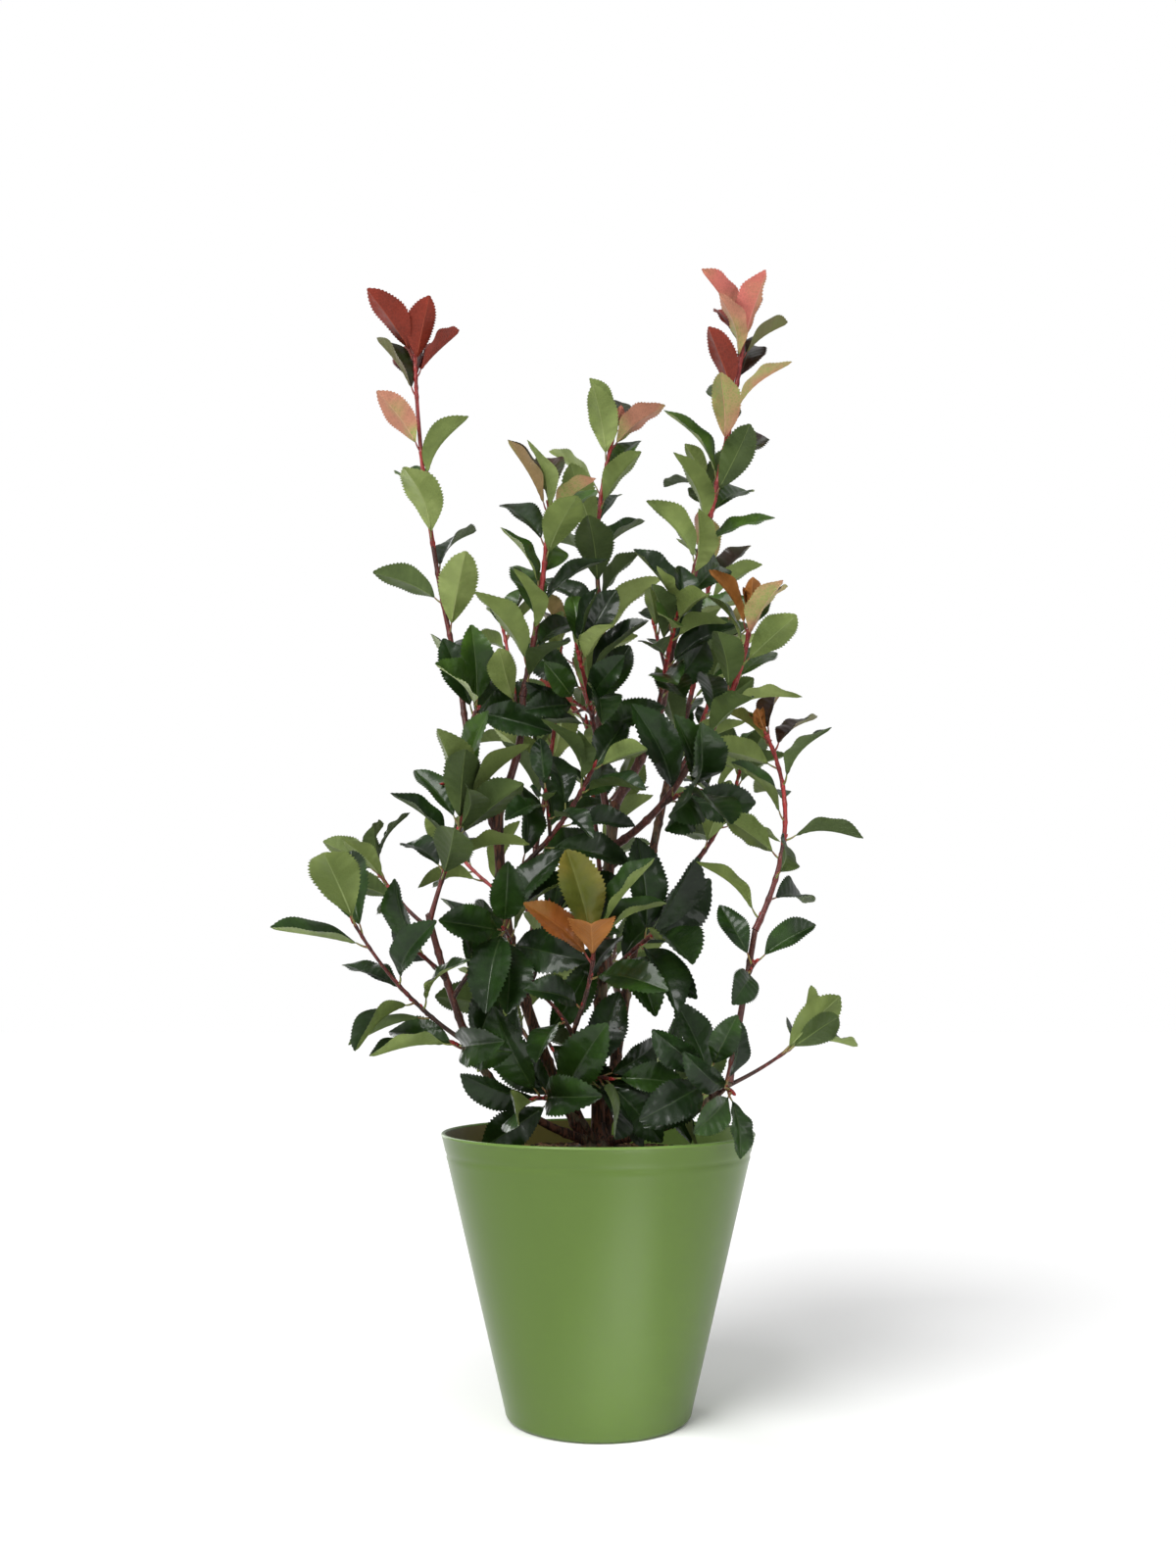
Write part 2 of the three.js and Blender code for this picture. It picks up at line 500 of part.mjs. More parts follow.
function clearOfPlanter(place) {
  const r = Math.hypot(place.x, place.y);
  const outside = r > potRadius(Math.min(place.z, POT.height)) + CLEAR.pot;
  if (place.z < POT.height + CLEAR.pot && !outside) {
    const inside = r < potRadius(place.z) - POT.wall - CLEAR.pot;
    return inside && place.z > SOIL.top + SOIL.mound + CLEAR.soil;
  }
  return place.z > 0;
}

function clearOfWood(points, mass) {
  return woody.every(({ owner, place, radius }) => owner === mass
    || points.every((point) => point.distanceTo(place) > radius + CLEAR.stem));
}

// Blades of the same mass may come close at their feet, where they share a stem
function clearOfLeaves(points, centre, span, mass) {
  return standing.every((other) => {
    if (centre.distanceTo(other.centre) > span + other.span + CLEAR.otherLeaf) return true;
    const own = other.mass === mass;
    const limit = own ? CLEAR.ownLeaf : CLEAR.otherLeaf;
    const skip = own ? FOOT_SAMPLES : 0;
    for (let i = skip; i < points.length; i += 1) {
      for (let j = skip; j < other.points.length; j += 1) {
        if (points[i].distanceTo(other.points[j]) < limit) return false;
      }
    }
    return true;
  });
}

function settle(leaf, mass) {
  const points = leaf.samples();
  const centre = leaf.place(0.5, 0);
  const span = leaf.length * HALF_SPAN;
  const free = points.every(clearOfPlanter) && clearOfWood(points, mass)
    && clearOfLeaves(points, centre, span, mass);
  if (free) standing.push({ mass, points, centre, span });
  return free;
}

// One leaf on a stem at t: turned aside until it is clear, or left out
function leafOn(stem, { t, turn, rise, length, curl, roll }, mass) {
  for (const extra of TURNS) {
    const aim = stem.heading(t, turn + extra, rise);
    const along = stem.tangent(t);
    const upper = along.addScaledVector(aim, -along.dot(aim)).normalize();
    const face = upper.applyAxisAngle(aim, degToRad(roll));
    const leaf = new Leaf(stem.point(t), aim, face, length, curl);
    if (settle(leaf, mass)) return [leaf];
  }
  return [];
}

// The leaves round a stem's end come first, then the others from its tip to its foot
function leavesOn(stem, plan, random, mass) {
  const grown = [];
  for (let i = 0; i < plan.tuft; i += 1) {
    grown.push(...leafOn(stem, {
      t: TUFT.at - (TUFT.step * i) / stem.reach.length(),
      turn: plan.turn + (360 / plan.tuft) * i + stray(TUFT.stray, random),
      rise: between(TUFT.rise, random),
      length: plan.tip * between(TUFT.scale, random),
      roll: stray(TUFT.roll, random),
      curl: between(TUFT.curl, random),
    }, mass));
  }
  for (let i = 0; i < plan.leaves; i += 1) {
    const t = lerp(plan.span[1], plan.span[0], (i + 0.5) / plan.leaves);
    grown.push(...leafOn(stem, {
      t,
      turn: plan.turn - LEAF.spiral * (plan.leaves - i) + stray(ALONG.stray, random),
      rise: lerp(plan.rise[0], plan.rise[1], t) + between(ALONG.rise, random),
      length: lerp(plan.size[0], plan.size[1], t) * between(ALONG.scale, random),
      curl: between(ALONG.curl, random),
      roll: stray(ALONG.roll, random),
    }, mass));
  }
  return grown;
}

// A short straight side twig with its own leaves, left out where it isn't clear
function sprigOn(stem, plan, random) {
  const t = between(SPRIG.from, random);
  const turn = 360 * random();
  const reach = stem.heading(t, turn, SPRIG.rise).multiplyScalar(between(SPRIG.length, random)).toArray();
  const twig = new Limb({ start: stem.point(t), reach, bow: [0, 0, 0], radius: SPRIG.radius });
  const spots = twig.stations(STATION).map(({ place }) => place);
  if (!clearOfWood(spots, plan.name) || !spots.every(clearOfPlanter)) return [];
  addWood(plan.name, twig);
  return [{ twig, leaves: leavesOn(twig, { ...plan, ...SPRIG_LEAVES }, random, plan.name) }];
}

function growShoot(plan) {
  const stem = shoots.get(plan.name);
  const random = seeded(plan.seed);
  const sprigs = [];
  for (let i = 0; i < (plan.sprigs ?? 0); i += 1) sprigs.push(...sprigOn(stem, plan, random));
  const leaves = sprigs.flatMap((sprig) => sprig.leaves);
  leaves.push(...leavesOn(stem, plan, random, plan.name));
  return { stem, twigs: sprigs.map(({ twig }) => twig), leaves };
}

function massSolid(plan) {
  const { stem, twigs, leaves } = growShoot(plan);
  let solid = cutBack(stem.solid(STEM_SIDES, ringsOf(stem)), plan.on);
  for (const twig of twigs) solid = solid.add(twig.solid(STEM_SIDES, 1));
  for (const leaf of leaves) solid = solid.add(leaf.solid());
  return solid;
}

// ---------------------------------------------------------------- the whole plant

const plant = new THREE.Group();
plant.add(meshOf("pot", potSolid(), FINISH.pot));
plant.add(meshOf("soil", soilSolid(), FINISH.soil));
for (const { name, on } of LIMBS) {
  const parent = on ?? (name === "trunk_centre" ? null : "trunk_centre");
  const solid = parent ? cutBack(limbSolid(name), parent) : limbSolid(name);
  plant.add(meshOf(name, solid, FINISH.bark));
}
for (const plan of SHOOTS) plant.add(meshOf(plan.name, massSolid(plan), FINISH.foliage));

export default plant;
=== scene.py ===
"""A red-tipped evergreen shrub of several stems, in a tapered round planter with its compost.

The plant grows by one rule: limbs are tapering arcs, each shoot carries leaves in a spiral with
a tuft at its end, and a leaf that would touch anything turns aside or is left out.
"""

import math
from types import SimpleNamespace
from typing import NamedTuple

import bpy
import numpy as np
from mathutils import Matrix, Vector


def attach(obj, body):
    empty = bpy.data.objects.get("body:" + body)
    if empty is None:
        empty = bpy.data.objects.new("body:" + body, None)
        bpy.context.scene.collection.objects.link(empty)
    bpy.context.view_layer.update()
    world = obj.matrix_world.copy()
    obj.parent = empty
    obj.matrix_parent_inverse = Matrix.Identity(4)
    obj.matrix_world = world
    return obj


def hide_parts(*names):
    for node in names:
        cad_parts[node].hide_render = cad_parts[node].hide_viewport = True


# ------------------------------------------------------------------ sizes, in millimetres

MM = 0.001  # one millimetre, in Blender's metres
GAP = 0.3  # between solids that would touch
CENTRE = 0.01  # radius of the tiny ring that closes a turned form on its axis

POT = SimpleNamespace(height=254, rim=150, foot=85, wall=4, floor=5, foot_edge=6)
# The faint groove under the rim; `shape` pairs a place across it with a share of its depth
BAND = SimpleNamespace(below_rim=20, width=2.4, depth=0.5,
                       shape=((-1, 0), (-0.5, 0.8), (0.5, 0.8), (1, 0)))
SOIL = SimpleNamespace(top=228, mound=4, mound_radius=55)
GROUND = SOIL.top + SOIL.mound + GAP

# The swelling that the stems rise from; its depths are shares of its radius
FLARE = SimpleNamespace(radius=34, height=30, hollow=2.2, steps=26, segments=96, lobes=5,
                        lobe_depth=0.1, ridges=0.05, ridge_length=14, cracks=0.03, crack_length=5)

# A blade's `width` and the `shorter` reach of a curled one are shares of its length, and `fold`
# is how far its edges stand up, over its half width. `lean` moves its widest place forward, and
# `fullness` under 1 rounds it. Along a stem, each leaf is turned by `spiral` degrees more.
LEAF = SimpleNamespace(width=0.48, lean=1.15, fullness=0.75, petiole=12, fold=0.26, shorter=0.25,
                       spiral=137.5)
# What differs from leaf to leaf along a stem, and in the tuft at its end: `stray`, `rise` and
# `roll` in degrees, `scale` of its length, and `curl`, the drop of its tip over its length
ALONG = SimpleNamespace(stray=24, rise=(-14, 2), scale=(0.88, 1.12), curl=(0.22, 0.46), roll=110)
TUFT = SimpleNamespace(at=0.985, step=11, stray=30, rise=(20, 44), scale=(0.82, 1.14),
                       curl=(0.06, 0.3), roll=84)
# Side twigs of a shoot, and what differs in how they carry their leaves
SPRIG = SimpleNamespace(start=(0.25, 0.65), length=(44, 62), rise=46, radius=(1.6, 1.3))
SPRIG_LEAVES = dict(turn=90, leaves=2, span=(0.3, 0.9), size=(58, 54), tuft=2, tip=50)

# The least room round a leaf, measured from the points of its blade in these rows and columns
CLEAR = SimpleNamespace(other_leaf=9.5, own_leaf=6, stem=4.5, pot=6, soil=6)
SAMPLE_ROWS = (0.06, 0.18, 0.3, 0.42, 0.54, 0.66, 0.78, 0.9, 1)
SAMPLE_COLUMNS = (-1, -0.5, 0, 0.5, 1)
FOOT_SAMPLES = 3 * len(SAMPLE_COLUMNS)  # blades of one mass may meet at these
HALF_SPAN = 0.56  # a blade lies within this share of its length around its middle
STATION = 10  # distance between the points that stand for a stem
TURNS = (0, 28, -28, 56, -56, 84, -84, 120, -120)  # degrees that a leaf turns aside to be clear
SIDEWAYS = 0.93  # share of X in a direction from which it counts as along X

# Where each row of repeatable random numbers starts
SEEDS = SimpleNamespace(tones=17, blades=99, unfolding=31, compost=12)

# ------------------------------------------------------------------ plan of the plant

class Stem(NamedTuple):
    """A trunk or bough from `foot`, or from the fraction `at` of the limb that it is `on`"""
    name: str
    reach: tuple  # from its foot to its tip
    bow: tuple  # how far its middle is pushed aside
    radius: tuple  # at its foot and its tip
    foot: tuple = ()
    on: str = ""
    at: float = 0


LIMBS = [
    Stem("trunk_centre", (18, 20, 343), (-5, 0, 0), (6.6, 5.6), foot=(0, 0, GROUND + 2)),
    Stem("trunk_left", (-85, -33, 330), (-24, -2, -6), (5.8, 4.8), foot=(-12, 3, 246)),
    Stem("stem_back", (69, 68, 361), (-4, 2, 0), (5.6, 4), foot=(6, 12, 246)),
    Stem("stem_low_right", (106, -71, 58), (7, 0, -9), (3.8, 3.3), foot=(12, -9, 246)),
    Stem("stem_low_left", (-111, -51, 99), (-15, 0, -10), (4, 3.5), foot=(-12, -9, 246)),
    Stem("stem_front", (-18, -57, 109), (-14, 0, 0), (2.6, 2.2), foot=(-3, -13, 246)),
    Stem("bough_left", (-44, 38, 167), (-6, 0, -3), (3.5, 2.9), on="trunk_left", at=0.88),
    Stem("bough_centre_left", (23, -9, 108), (7, 0, 0), (4, 3.3), on="trunk_left", at=0.97),
    Stem("bough_centre", (-3, 31, 193), (-12, 0, 0), (3.8, 3), on="trunk_centre", at=0.91),
    Stem("bough_right", (57, -20, 157), (11, 0, -4), (4.9, 4.2), on="trunk_centre", at=1),
    Stem("bough_right_low", (80, -65, 84), (7, 1, -6), (4, 3.2), on="trunk_centre", at=0.86),
    Stem("bough_far_right", (28, 10, 137), (0, 0, 0), (3.1, 2.7), on="stem_low_right", at=1),
    Stem("bough_far_left", (-37, 0, 112), (-2, 0, 0), (3.4, 3), on="stem_low_left", at=1),
    Stem("bough_back_left", (8, 105, 150), (4, 14, -12), (3.6, 2.9), on="trunk_left", at=0.45),
    Stem("bough_back", (-22, 95, 130), (-4, 14, -12), (3.6, 2.9), on="stem_back", at=0.35),
    Stem("bough_back_right", (72, 72, 96), (8, 8, -12), (3.4, 2.7), on="stem_back", at=0.52),
]


class Shoot(NamedTuple):
    """A twig with leaves; `radius`, `size` and `rise` are those at its foot and at its tip"""
    name: str
    reach: tuple
    bow: tuple
    radius: tuple
    on: str
    at: float
    leaves: int
    turn: float  # direction of the first leaf around the stem, in degrees
    size: tuple  # length of a leaf
    rise: tuple  # angle between a leaf and the stem, in degrees
    seed: int
    span: tuple = (0.2, 0.95)  # the stretch of stem that the leaves stand on
    tuft: int = 3  # leaves around its end
    tip: float = 60  # their length
    sprigs: int = 0  # side twigs


SHOOTS = [
    Shoot("spire_left", (-58, 15, 372), (-9, 0, -2), (2.7, 2), on="bough_left", at=1,
          leaves=8, turn=230, size=(78, 72), rise=(40, 30), seed=401, span=(0, 0.74), tuft=5, tip=82),
    Shoot("spire_right", (81, -20, 346), (9, 0, -2), (3.9, 2.2), on="bough_right", at=1,
          leaves=18, turn=100, size=(84, 70), rise=(44, 30), seed=640, span=(0.02, 0.95), tuft=4, tip=82,
          sprigs=1),
    Shoot("spire_centre", (9, 10, 262), (-16, 0, 0), (2.8, 1.9), on="bough_centre", at=1,
          leaves=13, turn=100, size=(82, 68), rise=(42, 30), seed=696, span=(0.03, 0.95), tip=70),
    Shoot("spire_centre_left", (26, -20, 196), (4, 0, 0), (3, 2.1), on="bough_centre_left", at=1,
          leaves=12, turn=100, size=(82, 66), rise=(44, 32), seed=235, span=(0.02, 0.95), tip=64),
    Shoot("shoot_right", (54, -30, 126), (10, 0, -3), (3, 1.9), on="bough_right_low", at=1,
          leaves=8, turn=40, size=(78, 58), rise=(50, 36), seed=643, span=(0.05, 0.95), tip=62),
    Shoot("shoot_far_right", (18, 20, 190), (23, 0, 4), (2.6, 1.8), on="bough_far_right", at=1,
          leaves=10, turn=330, size=(72, 66), rise=(64, 50), seed=730, span=(0, 0.95), tuft=2, tip=50),
    Shoot("shoot_left", (32, 10, 110), (-1, 0, 0), (2.4, 1.8), on="bough_far_left", at=0.95,
          leaves=8, turn=50, size=(76, 78), rise=(66, 56), seed=144, span=(0.3, 0.94), tuft=4, tip=82),
    Shoot("shoot_far_left_low", (-99, -60, 107), (-6, 0, -7), (2.1, 1.4), on="stem_low_left", at=0.94,
          leaves=5, turn=310, size=(72, 74), rise=(60, 60), seed=527, span=(0.25, 0.6), tip=84),
    Shoot("shoot_far_left", (-70, 60, 76), (-4, 0, -4), (2, 1.5), on="bough_far_left", at=0.86,
          leaves=5, turn=0, size=(58, 56), rise=(60, 50), seed=979, span=(0.35, 0.95), tuft=4, tip=52),
    Shoot("shoot_right_tip", (74, 30, 40), (0, 0, -3), (1.9, 1.4), on="stem_low_right", at=0.95,
          leaves=2, turn=40, size=(62, 62), rise=(50, 50), seed=728, span=(0.75, 0.9), tip=64),
    Shoot("shoot_bronze", (17, -40, 78), (4, 0, 0), (2, 1.6), on="stem_front", at=1,
          leaves=5, turn=10, size=(70, 70), rise=(60, 50), seed=939, span=(0.1, 0.95), tip=76),
    Shoot("shoot_rim_left", (-40, -34, 16), (0, 0, 5), (1.9, 1.5), on="stem_front", at=0.24,
          leaves=6, turn=320, size=(84, 80), rise=(66, 60), seed=805, span=(0.3, 0.95), tuft=2, tip=84),
    Shoot("shoot_rim_right", (8, -34, 2), (0, 0, 3), (1.8, 1.5), on="stem_low_right", at=0.9,
          leaves=3, turn=200, size=(60, 58), rise=(70, 60), seed=325, span=(0.3, 0.95), tuft=1),
    Shoot("shoot_front_right", (46, -66, 44), (0, 0, 4), (2.4, 1.8), on="trunk_centre", at=0.46,
          leaves=6, turn=230, size=(90, 84), rise=(62, 50), seed=168, span=(0.25, 0.95), tuft=2, tip=86),
    Shoot("shoot_front_left", (-6, -52, 22), (0, 0, 4), (2.2, 1.7), on="trunk_left", at=0.55,
          leaves=6, turn=10, size=(84, 78), rise=(64, 52), seed=896, tuft=2, tip=74),
    Shoot("shoot_mid_right", (34, -36, 12), (0, 0, 3), (2.2, 1.7), on="bough_right_low", at=0.5,
          leaves=5, turn=60, size=(86, 84), rise=(62, 50), seed=956, tuft=2, tip=90),
    Shoot("shoot_low_right", (-6, -46, 26), (0, -4, 4), (2.2, 1.7), on="stem_low_right", at=0.82,
          leaves=5, turn=350, size=(70, 64), rise=(66, 44), seed=811, span=(0.12, 0.95), tuft=2),
    Shoot("shoot_low_front", (34, -36, 12), (0, 0, 4), (1.9, 1.5), on="stem_front", at=0.45,
          leaves=6, turn=10, size=(72, 68), rise=(66, 56), seed=310, tuft=2, tip=70),
    Shoot("shoot_low_left", (-22, -30, 22), (0, 0, 2), (2.1, 1.6), on="stem_low_left", at=0.78,
          leaves=4, turn=210, size=(78, 72), rise=(66, 56), seed=927, tuft=1, tip=76),
    Shoot("shoot_mid_left", (-26, -28, 26), (0, 0, 2), (2.2, 1.7), on="bough_far_left", at=0.45,
          leaves=2, turn=260, size=(74, 70), rise=(66, 54), seed=385, tuft=2, tip=72),
    Shoot("shoot_outer_left", (-34, -24, 10), (0, 0, 3), (2.1, 1.6), on="bough_left", at=0.26,
          leaves=2, turn=130, size=(76, 72), rise=(60, 48), seed=830, tuft=2, tip=74),
    Shoot("shoot_low_centre", (14, -46, -6), (0, 0, 4), (2.1, 1.6), on="trunk_left", at=0.3,
          leaves=6, turn=60, size=(76, 70), rise=(66, 54), seed=424, tuft=2, tip=72),
    Shoot("shoot_front_centre", (-26, -26, 34), (0, 0, 3), (1.9, 1.5), on="stem_front", at=0.92,
          leaves=5, turn=120, size=(74, 70), rise=(62, 50), seed=960, tuft=2, tip=72),
    Shoot("shoot_inner_spire", (12, -26, 22), (0, 0, 4), (2, 1.6), on="bough_left", at=0.66,
          leaves=5, turn=200, size=(76, 72), rise=(60, 48), seed=83, tuft=1, tip=70),
    Shoot("shoot_diagonal", (89, -50, 106), (7, 0, -5), (2.6, 1.9), on="trunk_left", at=0.75,
          leaves=9, turn=320, size=(74, 68), rise=(62, 48), seed=731, span=(0.14, 0.95), sprigs=1),
    Shoot("shoot_inner_left", (24, -40, 86), (4, 0, -1), (2, 1.5), on="trunk_left", at=0.42,
          leaves=5, turn=290, size=(76, 70), rise=(62, 50), seed=936, tuft=2),
    Shoot("shoot_inner_far_left", (34, -16, 46), (0, 0, 2), (2.1, 1.6), on="bough_far_left", at=0.3,
          leaves=7, turn=350, size=(78, 72), rise=(62, 50), seed=634, tuft=2),
    Shoot("shoot_mid_far_right", (6, -16, 16), (0, 0, 2), (1.9, 1.5), on="bough_far_right", at=0.66,
          leaves=2, turn=40, size=(64, 60), rise=(80, 66), seed=448, span=(0.3, 0.9), tuft=1, tip=56),
    Shoot("shoot_small_left", (-20, 28, 122), (2, 0, 0), (1.9, 1.5), on="bough_centre_left", at=0.6,
          leaves=6, turn=90, size=(62, 54), rise=(54, 42), seed=677, tuft=2),
    Shoot("shoot_centre_front", (-22, -86, 92), (0, -10, 6), (2.4, 1.8), on="bough_centre", at=0.4,
          leaves=9, turn=100, size=(80, 68), rise=(62, 46), seed=115, span=(0.12, 0.95), sprigs=1),
    Shoot("shoot_right_front", (16, -80, 84), (0, -8, 6), (2.3, 1.7), on="bough_right", at=0.55,
          leaves=9, turn=200, size=(80, 66), rise=(60, 46), seed=640, span=(0.12, 0.95), sprigs=1),
    Shoot("spire_back", (51, 10, 247), (7, 0, -1), (3.2, 2), on="stem_back", at=1,
          leaves=10, turn=140, size=(78, 62), rise=(46, 32), seed=727, span=(0.03, 0.95), tip=66),
    Shoot("shoot_back_right", (75, 50, 192), (7, 0, -3), (2.6, 1.7), on="stem_back", at=0.94,
          leaves=9, turn=300, size=(74, 60), rise=(48, 34), seed=843, span=(0.12, 0.95)),
    Shoot("shoot_low_middle", (38, -30, 8), (0, 0, -4), (2, 1.6), on="stem_back", at=0.14,
          leaves=2, turn=100, size=(72, 68), rise=(64, 52), seed=808, tuft=1),
    Shoot("shoot_centre_back", (-26, 84, 108), (0, 10, 6), (2.4, 1.8), on="bough_centre", at=0.5,
          leaves=4, turn=190, size=(80, 66), rise=(60, 46), seed=166, span=(0.12, 0.95), sprigs=1),
    Shoot("spire_back_left", (26, 26, 236), (4, 6, 0), (2.7, 1.9), on="bough_back_left", at=1,
          leaves=9, turn=130, size=(80, 62), rise=(46, 32), seed=123, span=(0.03, 0.95), tip=64, sprigs=1),
    Shoot("spire_back_centre", (-16, 44, 196), (0, 6, 0), (2.7, 1.9), on="bough_back", at=1,
          leaves=8, turn=170, size=(80, 62), rise=(46, 32), seed=483, span=(0.03, 0.95), tip=64, sprigs=1),
    Shoot("shoot_back_far_left", (-84, 56, 66), (0, 0, -6), (2.2, 1.6), on="bough_back_left", at=0.6,
          leaves=4, turn=250, size=(78, 66), rise=(60, 48), seed=786, span=(0.15, 0.95)),
    Shoot("shoot_back_far_right", (56, 48, 116), (6, 6, -4), (2.5, 1.7), on="bough_back_right", at=1,
          leaves=7, turn=50, size=(78, 62), rise=(58, 42), seed=972, span=(0.04, 0.95), sprigs=1),
    Shoot("shoot_back_low", (8, 88, 26), (0, 0, -6), (2.2, 1.6), on="bough_back", at=0.42,
          leaves=7, turn=70, size=(78, 68), rise=(62, 50), seed=264, span=(0.15, 0.95)),
    Shoot("shoot_back_low_right", (72, 100, -12), (0, 0, -6), (2.3, 1.6), on="stem_back", at=0.14,
          leaves=4, turn=10, size=(76, 66), rise=(62, 50), seed=97, tuft=2),
    Shoot("shoot_back_low_left", (-52, 92, 72), (0, 0, -8), (2.3, 1.6), on="trunk_left", at=0.24,
          leaves=7, turn=170, size=(76, 66), rise=(62, 50), seed=145),
]

# Leaf colours: two for the upper side, two for the under side, and one for the veins
TONES = {
    "deep": ("12240b", "1c3210", "43532a", "4e5e30", "8a985c"),
    "leaf": ("182c0c", "263f13", "66763d", "788749", "9ea972"),
    "fresh": ("294212", "3c581c", "7f8f4d", "93a160", "b0ba80"),
    "olive": ("5c6224", "74692a", "6d7034", "7f7a3c", "9c9852"),
    "amber": ("8a4f22", "6f541f", "9a602c", "ac7440", "c09060"),
    "bronze": ("40271a", "2d3517", "957a50", "848448", "b09c70"),
    "copper": ("8a2b17", "5c221a", "8e3423", "6e2a1d", "a8583f"),
    "coral": ("6c1f14", "4b2315", "d4766a", "ae8660", "dca08a"),
    "blush": ("442716", "303416", "c88a70", "8f9c58", "c8b08a"),
    "maroon": ("341a10", "262c12", "6a5a3c", "5d6236", "8e8054"),
}
UPPER_VEIN, UNDER_VEIN = 0.22, 0.5  # how far a midrib is from its side's colour to the veins'
# The young leaves of a shoot, counted from its tip; the others are green
YOUNG = {
    "spire_left": ("copper", "copper", "copper", "copper", "maroon", "blush", "leaf", "fresh"),
    "spire_right": ("coral", "coral", "coral", "maroon", "copper", "blush", "maroon", "copper", "blush",
                    "deep", "blush", "maroon"),
    "spire_centre": ("maroon", "leaf", "blush", "bronze", "fresh"),
    "spire_centre_left": ("bronze", "bronze", "blush", "fresh"),
    "shoot_right": ("blush", "amber", "blush", "fresh"),
    "shoot_far_right": ("bronze", "olive", "maroon"),
    "shoot_bronze": ("leaf", "olive", "amber", "leaf", "amber"),
    "spire_back": ("bronze", "blush", "maroon"),
    "spire_back_left": ("maroon", "bronze", "fresh"),
    "spire_back_centre": ("copper", "coral", "bronze"),
    "shoot_back_right": ("bronze", "olive", "fresh"),
    "shoot_centre_back": ("bronze", "fresh", "fresh"),
}
HIGH_GREENS = ("leaf", "fresh", "deep", "leaf", "deep")
LOW_GREENS = ("deep", "leaf", "deep", "deep", "leaf")
LOW_CROWN = 620  # height under which the leaves are older and darker


def tint(code):
    """A six-figure sRGB colour code as linear red, green, blue and full alpha"""
    parts = [int(code[i:i + 2], 16) / 255 for i in (0, 2, 4)]
    return (*(c / 12.92 if c <= 0.04045 else ((c + 0.055) / 1.055) ** 2.4 for c in parts), 1.0)


# ------------------------------------------------------------------ finishes

class Wire:
    """An output socket that takes part in plain arithmetic"""

    def __init__(self, finish, socket):
        self.finish = finish
        self.socket = socket

    def _math(self, operation, first, second):
        return self.finish.node("Math", {"operation": operation}, {0: first, 1: second})

    def __add__(self, other):
        return self._math("ADD", self, other)

    def __sub__(self, other):
        return self._math("SUBTRACT", self, other)

    def __rsub__(self, other):
        return self._math("SUBTRACT", other, self)

    def __mul__(self, other):
        return self._math("MULTIPLY", self, other)

    __radd__ = __add__
    __rmul__ = __mul__


SOCKETS = {"ior": "IOR", "roughness": "Roughness", "coat_weight": "Coat Weight",
           "coat_roughness": "Coat Roughness", "coat_ior": "Coat IOR"}
MIX = SimpleNamespace(factor=0, first=6, second=7, result=2)  # a Mix node's sockets for colours


class Finish:
    """A material: its shader, with constants set on it, and the nodes that feed it"""

    def __init__(self, name, **constants):
        self.material = bpy.data.materials.new(name)
        self.material.use_nodes = True
        self.tree = self.material.node_tree
        self.shader = next(n for n in self.tree.nodes if n.type == "BSDF_PRINCIPLED")
        for key, value in constants.items():
            self.shader.inputs[SOCKETS[key]].default_value = value

    def node(self, kind, settings, sockets, output=0):
        """The chosen output of a new node, with its settings and its sockets' values or links"""
        made = self.tree.nodes.new("ShaderNode" + kind)
        for name, value in settings.items():
            setattr(made, name, value)
        for key, value in sockets.items():
            if isinstance(value, Wire):
                self.tree.links.new(value.socket, made.inputs[key])
            else:
                made.inputs[key].default_value = value
        return Wire(self, made.outputs[output])

    def feed(self, socket, wire):
        self.tree.links.new(wire.socket, self.shader.inputs[socket])

    def place(self, stretch=(1, 1, 1)):
        """Position on the object in metres, with each axis multiplied by `stretch`"""
        spot = self.node("TexCoord", {}, {}, output="Object")
        return self.node("VectorMath", {"operation": "MULTIPLY"}, {0: spot, 1: stretch})

    def noise(self, cells_per_metre, detail, stretch=(1, 1, 1)):
        """Soft clouds, from 0 to 1"""
        sockets = {"Vector": self.place(stretch), "Scale": cells_per_metre, "Detail": detail}
        return self.node("TexNoise", {}, sockets)

    def cells(self, cells_per_metre, feature="DISTANCE_TO_EDGE", stretch=(1, 1, 1)):
        """Distance to the edges of a net of cells, or with "F1" to their middles"""
        sockets = {"Vector": self.place(stretch), "Scale": cells_per_metre}
        return self.node("TexVoronoi", {"feature": feature}, sockets)

    def rise(self, wire, low, high):
        """0 where the wire is below `low`, 1 above `high`, and smooth between"""
        sockets = {"Value": wire, "From Min": low, "From Max": high}
        return self.node("MapRange", {"interpolation_type": "SMOOTHSTEP"}, sockets)

    def mix(self, factor, first, second):
        """The first colour where the factor is 0, and the second where it is 1"""
        sockets = {MIX.factor: factor, MIX.first: first, MIX.second: second}
        return self.node("Mix", {"data_type": "RGBA"}, sockets, output=MIX.result)

    def relief(self, height, depth, strength):
        """Bumps `depth` metres deep where the wire goes from 0 to 1"""
        sockets = {"Strength": strength, "Distance": depth, "Height": height}
        self.feed("Normal", self.node("Bump", {}, sockets))


def toward(code, other, share):
    """A colour code moved by a share toward another"""
    pairs = [(int(code[i:i + 2], 16), int(other[i:i + 2], 16)) for i in (0, 2, 4)]
    return "".join(f"{round(a + (b - a) * share):02x}" for a, b in pairs)


def shade(code, factor):
    """The tint of a colour code, darker or lighter by a factor"""
    return (*(min(1, c * factor) for c in tint(code)[:3]), 1.0)


